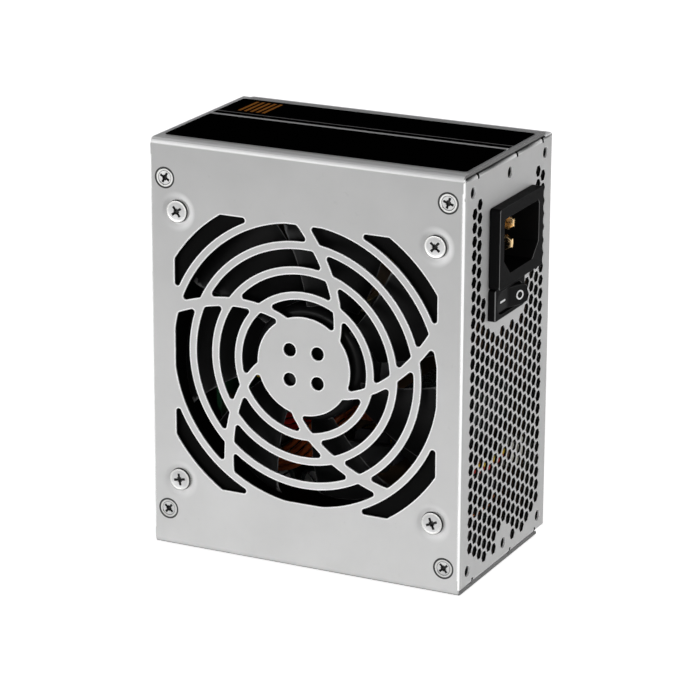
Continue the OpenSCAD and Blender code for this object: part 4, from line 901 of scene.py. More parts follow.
def cutWith(obj, cutter):
    boolean = obj.modifiers.new("recess", "BOOLEAN")
    boolean.operation = "DIFFERENCE"
    boolean.solver = "EXACT"
    boolean.material_mode = "TRANSFER"
    boolean.object = cutter
    bpy.context.view_layer.update()
    graph = bpy.context.evaluated_depsgraph_get()
    mesh = bpy.data.meshes.new_from_object(obj.evaluated_get(graph))
    obj.modifiers.clear()
    obj.data = mesh
    bpy.data.objects.remove(cutter)


def makeScrew(name, node, at, direction, profile, top, turn, span, paintedShadeRings, dull):
    # profile runs from the head's middle down to the shank's end; painted shade darkens the given rings, and the
    # middle is duller
    bm = bmesh.new()
    matrix = facing(direction, at)
    lathe(bm, profile, matrix, screwLook["steps"])
    inverse = matrix.inverted()
    for face in bm.faces:
        local = inverse @ face.calc_center_median()
        out = math.hypot(local.x, local.y)
        if any(low < out < high and local.z > foot for low, high, foot in paintedShadeRings):
            face.material_index = 1
        elif out < dull:
            face.material_index = 2
    screw = linkObject(name, bm, [finishes["bright_screws"], paintedRecessShade, headFinish])
    turned = matrix @ Matrix.Translation((0, 0, top)) @ Matrix.Rotation(math.radians(turn), 4, "Z")
    cutWith(screw, crossRecess(turned, span, screwLook))
    shadeSmooth(screw, screwLook["smoothAngle"])
    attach(screw, "case")
    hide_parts(node)


panLook = {"topInset": 0.08 * mm, "roll": 0.22 * mm, "rollSteps": 6, "sunk": 0.05 * mm, "flat": 0.3,
           "ridge": (0.5 * mm, 0.35 * mm), "sideInset": 0.02 * mm, "sideAt": 0.45, "tip": (0.4, 0.6)}


def panProfile(headR, headH, shankR, length, look):
    # a pan head: a flat top inside a raised ring, a small roll, and a side that spreads to the seat
    roll, inner = look["roll"], headH - look["sunk"]
    start = headR - look["topInset"] - roll
    foot, side = start - look["ridge"][0], start - look["ridge"][1]
    arc = [(headR - look["topInset"] - roll * (1 - math.sin(t)), headH - roll * (1 - math.cos(t)))
           for t in sweep(look["rollSteps"])]
    tipHigh, tipR = look["tip"]
    return [(0, inner), (headR * look["flat"], inner), (foot, inner), (side, headH)] + arc + [
        (headR - look["sideInset"], headH * look["sideAt"]), (headR, 0), (shankR, 0),
        (shankR, -length + shankR * tipHigh), (shankR * tipR, -length), (0, -length)]


fanScrewLook = {"headHeight": 1.4 * mm, "shank": 2.1 * mm, "firstTurn": 10, "nextTurn": 13, "cross": 1.1,
                "paintedShadeInset": 0.2 * mm, "beyond": 1 * mm, "paintedShadeFoot": 0.45, "dull": 0.8 * mm}


def fanScrews(look):
    for i, (low, high) in enumerate(solidBoxes("fan_screws")):
        middle = (low + high) / 2
        headR, headH = (high.x - low.x) / 2, look["headHeight"]
        seat = low.y + headH
        profile = panProfile(headR, headH, look["shank"], high.y - seat, panLook)
        # painted shade on the head's rim and side
        paintedShadeRings = [(headR - look["paintedShadeInset"], headR + look["beyond"], headH * look["paintedShadeFoot"])]
        turn, span = look["firstTurn"] + look["nextTurn"] * i, headR * look["cross"]
        makeScrew(f"fanScrew{i + 1}", "fan_screws", (middle.x, seat, middle.z), (0, -1, 0), profile, headH,
                  turn, span, paintedShadeRings, headR - look["dull"])


caseScrewLook = {"headInset": 0.24 * mm, "sink": 0.8 * mm, "ring": 0.78, "dished": (0.1 * mm, 0.12 * mm),
                 "step": (0.3 * mm, 0.12 * mm, 0.1 * mm), "edge": (0.1 * mm, 0.06 * mm), "shank": 1.45 * mm,
                 "tip": (1.1 * mm, 0.3 * mm), "firstTurn": 40, "nextTurn": 11, "cross": 1.28,
                 "paintedShadeRings": (0.11 * mm, 0.01 * mm, 0.3 * mm), "paintedOutlineFrom": 0.99, "beyond": 1 * mm,
                 "dull": 0.1 * mm}


def caseScrews(look):
    for i, (low, high) in enumerate(solidBoxes("case_screws")):
        middle = (low + high) / 2
        headR, end = (high.x - low.x) / 2 - look["headInset"], low.y - high.y
        ring = headR * look["ring"]
        (shallow, deep), (inner, middleStep, outer) = look["dished"], look["step"]
        (edgeIn, edgeDown), (tipR, tipUp) = look["edge"], look["tip"]
        profile = [(0, -shallow), (ring - inner, -shallow), (ring - middleStep, -deep), (ring, -deep),
                   (ring + outer, 0), (headR - edgeIn, 0), (headR, -edgeDown), (look["shank"], -look["sink"]),
                   (look["shank"], end + tipUp), (tipR, end), (0, end)]
        # painted shade on the inner ring's real step, and a painted shadow outline around the head
        fromRing, toRing, foot = look["paintedShadeRings"]
        paintedShadeRings = [(ring - fromRing, ring - toRing, -foot),
                   (look["paintedOutlineFrom"] * headR, headR + look["beyond"], -foot)]
        turn, span = look["firstTurn"] + look["nextTurn"] * i, headR * look["cross"]
        makeScrew(f"caseScrew{i + 1}", "case_screws", (middle.x, low.y, middle.z), (0, -1, 0), profile, 0,
                  turn, span, paintedShadeRings, ring - look["dull"])


boardScrewLook = {"headHeight": 1.6 * mm, "shank": 1.3 * mm, "firstTurn": 20, "nextTurn": 17, "cross": 1.2,
                  "dull": 0.7 * mm}


def boardScrews(look):
    for i, (low, high) in enumerate(solidBoxes("board_screws")):
        middle = (low + high) / 2
        onPanel = high.x - low.x > high.y - low.y
        headR, headH = (high.z - low.z) / 2, look["headHeight"]
        direction = (-1, 0, 0) if onPanel else (0, -1, 0)
        at = (low.x + headH, middle.y, middle.z) if onPanel else (middle.x, low.y + headH, middle.z)
        length = (high.x - low.x if onPanel else high.y - low.y) - headH
        profile = panProfile(headR, headH, look["shank"], length, panLook)
        turn, span = look["firstTurn"] + look["nextTurn"] * i, headR * look["cross"]
        makeScrew(f"boardScrew{i + 1}", "board_screws", at, direction, profile, headH,
                  turn, span, [], headR - look["dull"])


fanScrews(fanScrewLook)
caseScrews(caseScrewLook)
boardScrews(boardScrewLook)
print("screws")


# the impeller: a cup with a rolled edge and seven cambered blades

impellerLook = {"blades": 7, "twist": 40, "sweep": 11, "thickness": 1.7 * mm, "taper": (0.42, 0.08),
                "thinning": 0.25, "bladeLow": 3.4 * mm, "bladeHigh": 13.7 * mm, "overlap": 0.3 * mm,
                "rows": 14, "columns": 14, "cornerFrom": 0.8, "cornerDrop": 2.2 * mm,
                "hubRadius": 17.5 * mm, "hubEdge": 2.2 * mm, "hubWall": 1.2 * mm, "hubTop": 1.4 * mm,
                "dimple": (0.25 * mm, 0.52, 0.55), "steps": 96}


def bladeGrid(bm, matrix, look, start, side, tipR):
    # one face of a blade, as rows of points from its back edge to its front edge
    innerR = look["hubRadius"] - look["overlap"]
    full, thin = look["taper"]
    grid = []
    for j in range(look["rows"] + 1):
        v = j / look["rows"]
        taper = math.sqrt(max(0.0, 1 - (2 * v - 1) ** 4)) * full + thin  # thin edges and a fuller middle
        line = []
        for i in range(look["columns"] + 1):
            u = i / look["columns"]
            reach = innerR + u * (tipR - innerR)
            half = look["thickness"] * taper * (1 - look["thinning"] * u)
            angle = math.radians(look["sweep"] * u + look["twist"] * v + start) + side * half / reach
            height = look["bladeLow"] + v * (look["bladeHigh"] - look["bladeLow"])
            if u > look["cornerFrom"]:  # the outer front corner is rounded off
                drop = (u - look["cornerFrom"]) / (1 - look["cornerFrom"])
                height -= v ** 3 * drop ** 2.5 * look["cornerDrop"]
            place = Vector((reach * math.cos(angle), reach * math.sin(angle), height))
            line.append(bm.verts.new(matrix @ place))
        grid.append(line)
    return grid


def impeller(look):
    low, high, middle = boxOf("fan_rotor")
    backY = boxOf("fan_frame")[1].y
    matrix = axes((1, 0, 0), (0, 0, 1), (0, -1, 0), (middle.x, backY, middle.z))
    hubLow, hubHigh = backY - high.y, backY - low.y
    bm = bmesh.new()
    r, edge, wall, top = look["hubRadius"], look["hubEdge"], look["hubWall"], look["hubTop"]
    depth, inner, outer = look["dimple"]
    profile = [(0, hubHigh - depth), (r * inner, hubHigh - depth), (r * outer, hubHigh)]
    profile += [(r - edge + edge * math.sin(t), hubHigh - edge + edge * math.cos(t)) for t in sweep(8)]
    profile += [(r, hubLow), (r - wall, hubLow), (r - wall, hubHigh - top), (0, hubHigh - top)]
    lathe(bm, profile, matrix, look["steps"])
    rows, columns = look["rows"], look["columns"]
    for k in range(look["blades"]):
        start = 360 * k / look["blades"]
        a, b = [bladeGrid(bm, matrix, look, start, side, high.x - middle.x) for side in (-1, 1)]
        quads = []
        for grid, way in ((a, 1), (b, -1)):
            quads += [(grid[j][i], grid[j][i + 1], grid[j + 1][i + 1], grid[j + 1][i])[::way]
                      for j in range(rows) for i in range(columns)]
        for i, way in ((0, 1), (columns, -1)):
            quads += [(a[j][i], a[j + 1][i], b[j + 1][i], b[j][i])[::way] for j in range(rows)]
        for j, way in ((0, 1), (rows, -1)):
            quads += [(a[j][i], b[j][i], b[j][i + 1], a[j][i + 1])[::way] for i in range(columns)]
        for quad in quads:
            bm.faces.new(quad)
    bmesh.ops.recalc_face_normals(bm, faces=bm.faces)
    obj = addObject("impeller", bm, [finishes["blade_plastic"]], "rotor", 40)
    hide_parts("fan_rotor")


impeller(impellerLook)
print("impeller")


# the rocker: a bar with round ends whose two faces meet in a shallow valley, and its two marks

rockerLook = {"lean": 11, "valley": 2.3 * mm, "blend": 1.2 * mm, "half": 8 * mm, "under": 2.6 * mm,
              "steps": 48, "edge": 0.5 * mm, "leastWidth": 0.25 * mm, "pinRadius": 1.1 * mm,
              "pinLength": 0.7 * mm, "pinShown": 0.2 * mm, "pinInside": 0.2 * mm, "pinEdge": 0.15 * mm,
              "lineAt": -3.6 * mm, "lineLength": 3.5 * mm, "lineWidth": 0.6 * mm, "ringAt": 4.8 * mm,
              "ringRadius": 1.2 * mm, "ringWidth": 0.5 * mm, "proud": 0.03 * mm, "below": 0.05 * mm}


def rockerRings(look, reach, bodyHalf):
    # sections across the rocker, each a rounded slab of (height, width); the ends are rounded in plan
    slope = math.tan(math.radians(look["lean"]))
    blend, steps = look["blend"], look["steps"]
    for i in range(steps + 1):
        u = -reach + 2 * reach * i / steps
        a = abs(u)
        face = a if a >= blend else a * a / (2 * blend) + blend / 2  # the two faces blend in the valley
        limit = math.sqrt(max(reach * reach - u * u, 0.0))
        top, bottom = min(look["valley"] + slope * face, limit), max(-look["under"], -limit)
        endRoom = reach - a
        width = bodyHalf
        if endRoom <= bodyHalf:
            width = math.sqrt(max(bodyHalf ** 2 - (bodyHalf - endRoom) ** 2, 0.0))
        width = max(width, look["leastWidth"])
        e = min(look["edge"], width * 0.8, max((top - bottom) * 0.4, 0.02 * mm))
        half = [(top - e + e * math.sin(t), width - e + e * math.cos(t)) for t in sweep(5)]
        yield u, [(bottom, width)] + half + [(w, -z) for w, z in reversed(half)] + [(bottom, -width)]


def lineOutline(look):
    # a short bar with rounded corners
    halfU, halfZ = look["lineLength"] / 2, look["lineWidth"] / 2
    r = halfZ * 0.5
    outline = []
    for cx, cz, start in ((1, 1, 0), (-1, 1, 90), (-1, -1, 180), (1, -1, 270)):
        for k in range(4):
            t = math.radians(start + 30 * k)
            outline.append((cx * (halfU - r) + r * math.cos(t), cz * (halfZ - r) + r * math.sin(t)))
    return outline


def rockerParts(look):
    low, high, middle = boxOf("switch_rocker")
    pivot = Vector(next(j for j in frame["joints"] if j["name"] == "rocker_tilt")["pos_m"])
    bodyHalf = (high.z - low.z) / 2 - look["pinLength"]
    lean = math.radians(look["lean"])
    reach = math.hypot(look["half"], look["valley"] + look["half"] * math.tan(lean))
    # u runs along the rocker, w out of its middle, and z along the pivot
    turn = Matrix.Rotation(-lean, 3, "Z")
    uAxis, wAxis, zAxis = turn @ Vector((0, 1, 0)), turn @ Vector((1, 0, 0)), Vector((0, 0, 1))
    bm = bmesh.new()
    skin(bm, [[bm.verts.new(pivot + uAxis * u + wAxis * w + zAxis * z) for w, z in ring]
              for u, ring in rockerRings(look, reach, bodyHalf)])
    bmesh.ops.recalc_face_normals(bm, faces=bm.faces)
    r, length, edge = look["pinRadius"], look["pinShown"] + look["pinInside"], look["pinEdge"]
    for side in (-1, 1):
        base = facing((0, 0, side), pivot + zAxis * (side * (bodyHalf - look["pinInside"])))
        lathe(bm, [(0, 0), (r, 0), (r, length - edge), (r - edge, length), (0, length)], base, 24)
    rocker = addObject("rocker", bm, [finishes["rocker_plastic"]], "rocker", 35)
    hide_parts("switch_rocker")
    # the marks lie in the two faces, a hair proud
    white = plasticFinish("markWhite", (0.8, 0.8, 0.8), 0.4)
    under, proud = -look["below"], look["proud"]
    for name, at in (("onMark", look["lineAt"]), ("offMark", look["ringAt"])):
        tilt = math.copysign(lean, at)
        along = uAxis * math.cos(tilt) + wAxis * math.sin(tilt)
        out = wAxis * math.cos(tilt) - uAxis * math.sin(tilt)
        origin = pivot + uAxis * at + wAxis * (look["valley"] + abs(at) * math.tan(lean))
        matrix = axes(along, zAxis, out, origin)
        bm = bmesh.new()
        if name == "onMark":
            skin(bm, [[bm.verts.new(matrix @ Vector((a, b, h))) for a, b in lineOutline(look)]
                      for h in (under, proud)])
            bmesh.ops.recalc_face_normals(bm, faces=bm.faces)
        else:
            inner, outer = [look["ringRadius"] + side * look["ringWidth"] / 2 for side in (-1, 1)]
            lathe(bm, [(inner, under), (outer, under), (outer, proud), (inner, proud)], matrix, closed=True)
        addObject(name, bm, [white], "rocker", 35)


rockerParts(rockerLook)
print("rocker")


# the switch's rim: a long opening with round ends

rimLook = {"edge": 0.5 * mm, "lip": 0.35 * mm, "corner": 0.8 * mm, "openHalf": (9.1 * mm, 3.4 * mm),
           "depth": 7.6 * mm, "bodyHalf": (9.8 * mm, 4.4 * mm), "steps": 240}


def switchRim(look):
    low, high, middle = boxOf("switch_housing")
    halfU, halfV = (high.y - low.y) / 2, (high.z - low.z) / 2
    (openU, openV), (bodyU, bodyV) = look["openHalf"], look["bodyHalf"]
    face, corner = high.x, look["corner"]
    levels = [(openU, openV, openV, face - look["depth"])]
    for t in sweep(5):
        grow = look["lip"] * (1 - math.cos(t))
        levels.append((openU + grow, openV + grow, openV + grow, face - look["lip"] * (1 - math.sin(t))))
    for t in sweep(5):
        inset = look["edge"] * (1 - math.sin(t))
        levels.append((halfU - inset, halfV - inset, corner - inset * 0.5,
                       face - look["edge"] * (1 - math.cos(t))))
    levels += [(halfU, halfV, corner, caseHalf), (bodyU, bodyV, corner, caseHalf),
               (bodyU, bodyV, corner, low.x)]
    bm = bmesh.new()
    stack(bm, axes((0, 1, 0), (0, 0, 1), (1, 0, 0), (0, middle.y, middle.z)), levels, look["steps"])
    rim = addObject("switchRim", bm, [finishes["inlet_plastic"]], "case", 35)
    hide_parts("switch_housing")


switchRim(rimLook)
print("switch rim")


# the inlet's pins: flat blades with sloping tips, on thinner tails

pinLook = {"tail": 6 * mm, "tailHalf": 0.4 * mm, "tailCorner": 0.05 * mm, "slope": 1.5 * mm,
           "corner": 0.2 * mm, "tipHalf": (0.42 * mm, 1.25 * mm), "tipEdge": (0.1 * mm, 0.06 * mm),
           "steps": 160}


def pins(node, name, look):
    for i, (low, high) in enumerate(solidBoxes(node)):
        middle = (low + high) / 2
        halfU, halfV = (high.y - low.y) / 2, (high.z - low.z) / 2
        foot = low.x + look["tail"]
        (tipU, tipV), (edgeIn, edgeLong) = look["tipHalf"], look["tipEdge"]
        tailHalf, tailCorner, corner = look["tailHalf"], look["tailCorner"], look["corner"]
        levels = [(tailHalf, halfV, tailCorner, low.x), (tailHalf, halfV, tailCorner, foot),
                  (halfU, halfV, corner, foot), (halfU, halfV, corner, high.x - look["slope"]),
                  (tipU, tipV, corner, high.x - edgeLong), (tipU - edgeIn, tipV - edgeIn, corner, high.x)]
        bm = bmesh.new()
        stack(bm, axes((0, 1, 0), (0, 0, 1), (1, 0, 0), (0, middle.y, middle.z)), levels, look["steps"])
        pin = addObject(f"{name}{i + 1}", bm, [finishes["brass_contacts"]], "case", 30)
        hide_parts(node)


pins("live_pins", "livePin", pinLook)
pins("earth_pin", "earthPin", pinLook)
print("pins")


# capacitors: a sleeve with a groove near its foot, rolled over a scored aluminium end

canTop = metalFinish("canTop", (0.62, 0.62, 0.62), 0.35)
capacitorLook = {"foot": 0.4 * mm, "roll": 0.8 * mm, "lip": 0.13, "lipEdge": (0.1 * mm, 0.12 * mm),
                 "grooveAt": 3 * mm, "grooveHalf": 0.8 * mm, "grooveDepth": 0.6 * mm, "sunk": 0.3 * mm,
                 "under": 0.15 * mm, "score": 0.25 * mm, "scoreTurn": 0.6,
                 "sector": (0.05 * mm, 0.2 * mm, 0.1 * mm), "steps": 56}


def capacitors(node, name, look):
    for i, (low, high) in enumerate(solidBoxes(node)):
        middle = (low + high) / 2
        r, h = (high.x - low.x) / 2, high.y - low.y
        roll, foot, end = look["roll"], look["foot"], h - look["sunk"]
        floor = end - look["under"]
        lip = r - roll - look["lip"] * r
        lipIn, lipDown = look["lipEdge"]
        profile = [(0, 0), (r - foot, 0), (r, foot)]
        at, half, depth = look["grooveAt"], look["grooveHalf"], look["grooveDepth"]
        profile += [(r - depth * math.sin(t), at - half * math.cos(t)) for t in sweep(8, math.pi)]
        profile += [(r - roll * (1 - math.cos(t)), h - roll * (1 - math.sin(t))) for t in sweep(6)]
        profile += [(lip + lipIn, h), (lip, h - lipDown), (lip, floor), (0, floor)]
        matrix = axes((1, 0, 0), (0, 0, 1), (0, -1, 0), (middle.x, high.y, middle.z))
        bm = bmesh.new()
        lathe(bm, profile, matrix, look["steps"])
        # four sectors between the scored lines
        start = len(bm.faces)
        play, thick, bevel = look["sector"]
        gap, reach = look["score"], lip - play
        first, last = math.asin(gap / reach), math.acos(gap / reach)
        arc = [first + t for t in sweep(10, last - first)]
        sector = [(gap, gap)] + [(reach * math.cos(t), reach * math.sin(t)) for t in arc]
        for turn in turns(4):
            turned = matrix @ Matrix.Rotation(turn + look["scoreTurn"], 4, "Z")
            prism(bm, turned, sector, end - thick, end, bevel)
        bmesh.ops.recalc_face_normals(bm, faces=bm.faces)
        paint(bm, start, 1)
        materials = [finishes["capacitor_can"], canTop]
        can = addObject(f"{name}{i + 1}", bm, materials, "case", 35)
        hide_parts(node)


capacitors("bulk_capacitor", "bulkCapacitor", capacitorLook)
capacitors("output_capacitors", "outputCapacitor", capacitorLook)
print("capacitors")


# chokes: enamelled wire wound around each ring, its ends led down to the board

chokeLook = {"wire": 1.3 * mm, "play": 0.1 * mm, "corner": 1.1 * mm, "ringMiddle": 0.75, "ringHalf": 0.25,
             "sides": 10}


def wound(node, core, name, runs, look):
    low, high, middle = boxOf(core)
    outer = (high.x - low.x) / 2
    halfU = outer * look["ringHalf"] + look["play"] + look["wire"] / 2
    halfV = (high.y - low.y) / 2 + look["play"] + look["wire"] / 2
    corner = look["corner"]

    def place(u, v, angle):
        a = math.radians(angle)
        out = outer * look["ringMiddle"] + u
        return Vector((middle.x + out * math.cos(a), middle.y + v, middle.z + out * math.sin(a)))
    bm = bmesh.new()
    for first, step, count in runs:
        path = [place(halfU, boardY - middle.y, first)]
        for k in range(count):
            for c, (su, sv) in enumerate(((1, 1), (-1, 1), (-1, -1), (1, -1))):
                for j in range(4):
                    t = math.radians(90 * c + 30 * j)
                    u = su * (halfU - corner) + corner * math.cos(t)
                    v = sv * (halfV - corner) + corner * math.sin(t)
                    path.append(place(u, v, first + step * (k + (c * 4 + j) / 16)))
        path.append(place(halfU, boardY - middle.y, first + step * count))
        tube(bm, path, look["wire"] / 2, look["sides"])
    coil = addObject(name, bm, [finishes["copper_wire"]], "case", 50)
    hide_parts(node)


# each run of turns: its first angle, the angle from turn to turn, and how many
wound("line_choke_coils", "line_choke_core", "lineChokeWire", [(22, 27, 5), (202, 27, 5)], chokeLook)
wound("pfc_choke_coil", "pfc_choke_core", "inputChokeWire", [(12, 19.5, 17)], chokeLook)
wound("output_choke_coil", "output_choke_core", "outputChokeWire", [(8, 18.8, 18)], chokeLook)
print("chokes")


# transformers: a taped winding between two plastic flanges

windingLook = {"flange": 0.8 * mm, "inset": 0.7 * mm, "bulge": 0.25 * mm, "corner": 2.5 * mm, "rows": 12,
               "layerEnds": (4, 8), "layerStep": 0.12 * mm, "layerRise": 0.02 * mm}


def taped(node, name, look):
    low, high, middle = boxOf(node)
    halfU, halfV, h = (high.x - low.x) / 2, (high.z - low.z) / 2, high.y - low.y
    matrix = axes((1, 0, 0), (0, 0, 1), (0, -1, 0), (middle.x, high.y, middle.z))
    corner, flange, step = look["corner"], look["flange"], look["layerStep"]
    levels = []
    for k in range(look["rows"] + 1):
        f = k / look["rows"]
        inset = look["inset"] - look["bulge"] * math.sin(math.pi * f)
        u, v, level = halfU - inset, halfV - inset, flange + (h - 2 * flange) * f
        levels.append((u, v, corner, level))
        if k in look["layerEnds"]:
            levels.append((u - step, v - step, corner, level + look["layerRise"]))
    bm = bmesh.new()
    stack(bm, matrix, levels)
    start = len(bm.faces)
    for base in (0, h - flange):
        stack(bm, matrix, [(halfU, halfV, corner, base), (halfU, halfV, corner, base + flange)])
    paint(bm, start, 1)
    materials = [finishes["yellow_film"], finishes["black_epoxy"]]
    winding = addObject(name, bm, materials, "case", 40)
    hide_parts(node)


taped("transformer_winding", "mainWinding", windingLook)
taped("standby_winding", "standbyWinding", windingLook)
print("windings")


# the fuse: a glass tube between two caps

fuseLook = {"cap": 5 * mm, "glassInset": 0.3 * mm, "capEdge": 0.4 * mm, "rimEdge": (0.2 * mm, 0.3 * mm),
            "steps": 32}


def fusePiece(look):
    low, high, middle = boxOf("fuse")
    r, h = (high.x - low.x) / 2, high.z - low.z
    matrix = facing((0, 0, 1), (middle.x, middle.y, low.z))
    cap, edge, glassR = look["cap"], look["capEdge"], r - look["glassInset"]
    rimIn, rimLong = look["rimEdge"]
    bm = bmesh.new()
    lathe(bm, [(0, cap), (glassR, cap), (glassR, h - cap), (0, h - cap)], matrix, look["steps"])
    start = len(bm.faces)
    rim = [(0, 0), (r - edge, 0), (r, edge), (r, cap - rimLong), (r - rimIn, cap), (0, cap)]
    for foot, way in ((0, 1), (h, -1)):
        lathe(bm, [(a, foot + way * b) for a, b in rim], matrix, look["steps"])
    paint(bm, start, 1)
    materials = [finishes["glass_fuse"], finishes["tinned_brass"]]
    fuse = addObject("fuseTube", bm, materials, "case", 35)
    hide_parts("fuse")


fusePiece(fuseLook)
print("fuse")


# leads: each follows its own points, given in millimetres, from its foot to its end

leadLook = {"output": 1.7, "fan": 1.3, "mains": 2.4, "earth": 2.04, "sides": 14}
earthRingLook = {"below": 0.8 * mm, "hole": 1.7 * mm, "thickness": 0.7 * mm, "sleeve": 1.15 * mm}
blueInsulation = plasticFinish("blueInsulation", (0.02, 0.08, 0.4), 0.36)


def lead(name, node, slot, routes, diameter, finish=None):
    bm = bmesh.new()
    for route in routes:
        tube(bm, smoothPath([Vector(p) * mm for p in route]), diameter * mm / 2, leadLook["sides"])
    obj = addObject(name, bm, [finish or finishes[slot]], "case", 50)
    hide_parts(node)


def outputLeads(board, half, diameter):
    socketX = boxOf("socket_board")[1].x / mm
    for k in range(4):
        step = -2.2 * k
        shift = Vector((-1.54, 0, 1.26)) * k
        route = [(9 + step, board, 36.5), (9 + step, board - 12, 36.5), (7 + step, board - 26, 39)]
        for x, y, z in ((4, -4, 41), (-6, -5, 31), (-16, -5.5, 21.5)):
            route.append((x + shift.x, board - 24 + y, z + shift.z))
        route += [(x, board - 29.5, half - 44 + 2 * k) for x in (-28, socketX)]
        lead(f"orangeLead{k + 1}", "orange_leads", "orange_insulation", [route], diameter)
    for k in range(3):
        step = -2.2 * k
        route = [(-0.6 + step, board, 36.5), (-0.6 + step, board - 13, 36.5), (-1.6 + step, board - 20, 37)]
        for x, y, z in ((-10, 0.5, -27), (-23.5, -0.5, -32), (-32, -3, -27.5), (socketX, -3, -27.5)):
            route.append((x, board - 24 + y, half + z + 2 * k))
        lead(f"redLead{k + 1}", "red_leads", "red_insulation", [route], diameter)
    for name, first, count in (("yellow", -20, 5), ("black", 0, 6)):
        for k in range(count):
            points = ((-32.6, board), (-32.6, board - 6), (-33.3, 12.3), (-34.8, 10.3), (socketX, 10.3))
            route = [(x, y, half + first + 4 * k) for x, y in points]
            lead(f"{name}Lead{k + 1}", f"{name}_leads", f"{name}_insulation", [route], diameter)


def fanLeads(board, half, diameter):
    fanBack = boxOf("fan_frame")[1].y / mm
    plug = boxOf("fan_plug")[2] / mm
    for k, slot in ((-1, "black_insulation"), (0, "red_insulation"), (1, "yellow_insulation")):
        a, b, y = k * 0.75, k * 1.5, fanBack + 0.7
        route = [(8.5 + a, y, half - 10.2 + a), (24 + a, y + 0.3, half - 22 + a)]
        route += [(34, y + 1, plug.z + 5.5 + b), (plug.x - 2, y + 6, plug.z + 2 + b)]
        route += [(plug.x, end, plug.z + b) for end in (y + 16, board - 13, board - 8)]
        lead(f"fanLead{k + 2}", "fan_lead", slot, [route], diameter)


def mainsLeads(board, tailX, tailY, tailZ, diameter):
    liveY, neutralY = tailY - 7, tailY + 7
    terminalsLow, terminalsHigh, terminals = boxOf("switch_terminals")
    endX, endZ = terminalsLow.x / mm, terminals.z / mm
    inY, outY = terminals.y / mm - 4.5, terminals.y / mm + 4.5
    brown = [[(tailX, liveY, tailZ), (tailX - 3, liveY, tailZ), (tailX - 6, liveY - 1, tailZ - 6),
              (tailX - 5.5, inY + 0.5, endZ + 5), (tailX - 1, inY, endZ), (endX, inY, endZ)],
             [(endX, outY, endZ), (endX - 4, outY, endZ), (endX - 7.5, outY + 4, endZ + 1),
              (endX - 8, outY + 12, endZ + 1.5), (endX - 8, board, endZ + 1.5)]]
    lead("brownLeads", "mains_leads", "brown_insulation", brown, diameter)
    blue = [(tailX, neutralY, tailZ), (tailX - 3, neutralY, tailZ), (tailX - 5.5, neutralY + 3, tailZ + 4),
            (tailX - 5.7, neutralY + 8, tailZ + 6), (tailX - 5.7, board, tailZ + 6)]
    lead("blueLead", "mains_leads", "brown_insulation", [blue], diameter, blueInsulation)


def earthLead(board, tailX, tailY, diameter, look):
    earth = boxOf("earth_screw")[2] / mm
    leadHigh = boxOf("earth_lead")[1]
    ringZ, pinZ = leadHigh.z / mm, boxOf("earth_pin")[2].z / mm
    green = [(tailX, tailY, pinZ), (tailX - 3, tailY, pinZ), (earth.x + 1.5, tailY + 3, pinZ + 7),
             (earth.x, board - 13.5, pinZ + 16), (earth.x, earth.y - 10, ringZ - 2.4),
             (earth.x, earth.y - 4.5, ringZ - 1.2)]
    lead("earthLead", "earth_lead", "green_insulation", [green], diameter)
    ringR, thick = leadHigh.y - earth.y * mm, look["thickness"]
    bm = bmesh.new()
    at = facing((0, 0, 1), (earth.x * mm, earth.y * mm, ringZ * mm - look["below"]))
    lathe(bm, [(look["hole"], 0), (ringR, 0), (ringR, thick), (look["hole"], thick)], at, 40, closed=True)
    sleeve = [Vector((earth.x, earth.y - 5.4, ringZ - 1.25)), Vector((earth.x, earth.y - 2, ringZ - 0.9))]
    tube(bm, [point * mm for point in sleeve], look["sleeve"], 20)
    ring = addObject("earthRing", bm, [finishes["tinned_brass"]], "case", 40)
    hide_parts("earth_lead")


def allLeads(look):
    board, half = boardY / mm, middleZ / mm
    tailsLow, tailsHigh, tails = boxOf("live_pins")
    tailX, tailY, tailZ = tailsLow.x / mm, tails.y / mm, tails.z / mm
    outputLeads(board, half, look["output"])
    fanLeads(board, half, look["fan"])
    mainsLeads(board, tailX, tailY, tailZ, look["mains"])
    earthLead(board, tailX, tailY, look["earth"], earthRingLook)


allLeads(leadLook)
print("leads")


# light and floor

lampTarget = Vector((0, 0, 0.06))
lampLook = {
    "key": {"azimuth": -12, "elevation": 4, "distance": 1.6, "size": (1.3, 0.34), "power": 10.5},
    "right": {"azimuth": 98, "elevation": 5, "distance": 1.6, "size": (1.2, 0.8), "power": 13},
    "left": {"azimuth": 262, "elevation": 5, "distance": 1.6, "size": (1.2, 0.8), "power": 12},
    "back": {"azimuth": 166, "elevation": 5, "distance": 1.8, "size": (0.9, 0.8), "power": 6},
    "bounce": {"azimuth": -3, "elevation": -13, "distance": 0.165, "size": (0.3, 0.03), "power": 0.05,
               "hidden": True},
}


def addLamp(name, look, target):
    way = wayFrom(look["azimuth"], look["elevation"])
    data = bpy.data.lights.new(name, "AREA")
    data.shape = "RECTANGLE"
    data.size, data.size_y = look["size"]
    data.energy = look["power"]
    lamp = bpy.data.objects.new(name, data)
    lamp.matrix_world = facing(way, target + way * look["distance"])
    if look.get("hidden"):
        lamp.visible_camera = False
        lamp.visible_glossy = False
    bpy.context.scene.collection.objects.link(lamp)


worldLook = {"horizon": (1.0, 1.0, 1.0), "zenith": (0.07, 0.07, 0.072), "paleUpTo": 0.15, "dimFrom": 0.32}


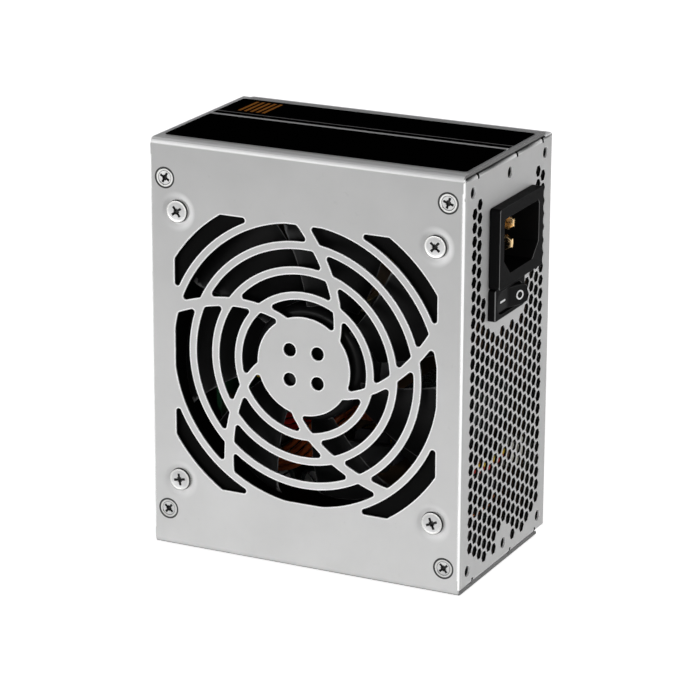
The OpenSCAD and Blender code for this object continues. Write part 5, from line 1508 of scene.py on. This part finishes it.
def addWorld(look):
    # a pale backdrop all round, up to a little above the horizon, and a dim ceiling
    world = bpy.data.worlds.new("studio")
    world.use_nodes = True
    bpy.context.scene.world = world
    tree = world.node_tree
    tree.nodes.clear()
    out = tree.nodes.new("ShaderNodeOutputWorld")
    height = separate(tree, "Generated")[2]
    dim = above(tree, height, look["paleUpTo"], look["dimFrom"])
    colour = mixColour(tree, dim, look["horizon"], look["zenith"])
    sky = addNode(tree, "Background", None, Color=colour, Strength=1.0)
    tree.links.new(sky.outputs[0], out.inputs[0])


floorLook = {"colour": (0.82, 0.82, 0.82), "half": 3.0, "under": 0.2 * mm, "glow": 0.8, "glowFrom": 0.15,
             "fullGlowAt": 0.9}


def addFloor(look):
    # the floor keeps the shadow, and glows only where it is seen, more so further away
    material = bpy.data.materials.new("studioFloor")
    material.use_nodes = True
    tree = material.node_tree
    tree.nodes.clear()
    out = tree.nodes.new("ShaderNodeOutputMaterial")
    path = tree.nodes.new("ShaderNodeLightPath").outputs
    seen = largest(tree, path["Is Camera Ray"], path["Is Glossy Ray"], path["Is Transmission Ray"])
    diffuse = addNode(tree, "BsdfDiffuse", None, Color=look["colour"])
    point = addNode(tree, "TexCoord").outputs["Object"]
    away = addNode(tree, "VectorMath", {"operation": "LENGTH"}, i0=point).outputs["Value"]
    level = ramp(tree, away, look["glowFrom"], look["fullGlowAt"], look["glow"], 1.0)
    glow = addNode(tree, "Emission", None, Color=(1, 1, 1), Strength=times(tree, seen, level))
    both = addNode(tree, "AddShader", None, i0=diffuse.outputs[0], i1=glow.outputs[0])
    tree.links.new(both.outputs[0], out.inputs[0])
    bm = bmesh.new()
    h = look["half"]
    bm.faces.new([bm.verts.new((x, y, -look["under"])) for x, y in ((-h, -h), (h, -h), (h, h), (-h, h))])
    linkObject("floor", bm, [material])


for name, look in lampLook.items():
    addLamp(name + "Lamp", look, lampTarget)
addWorld(worldLook)
addFloor(floorLook)
bpy.context.scene.view_settings.view_transform = "Standard"
print("light and floor")
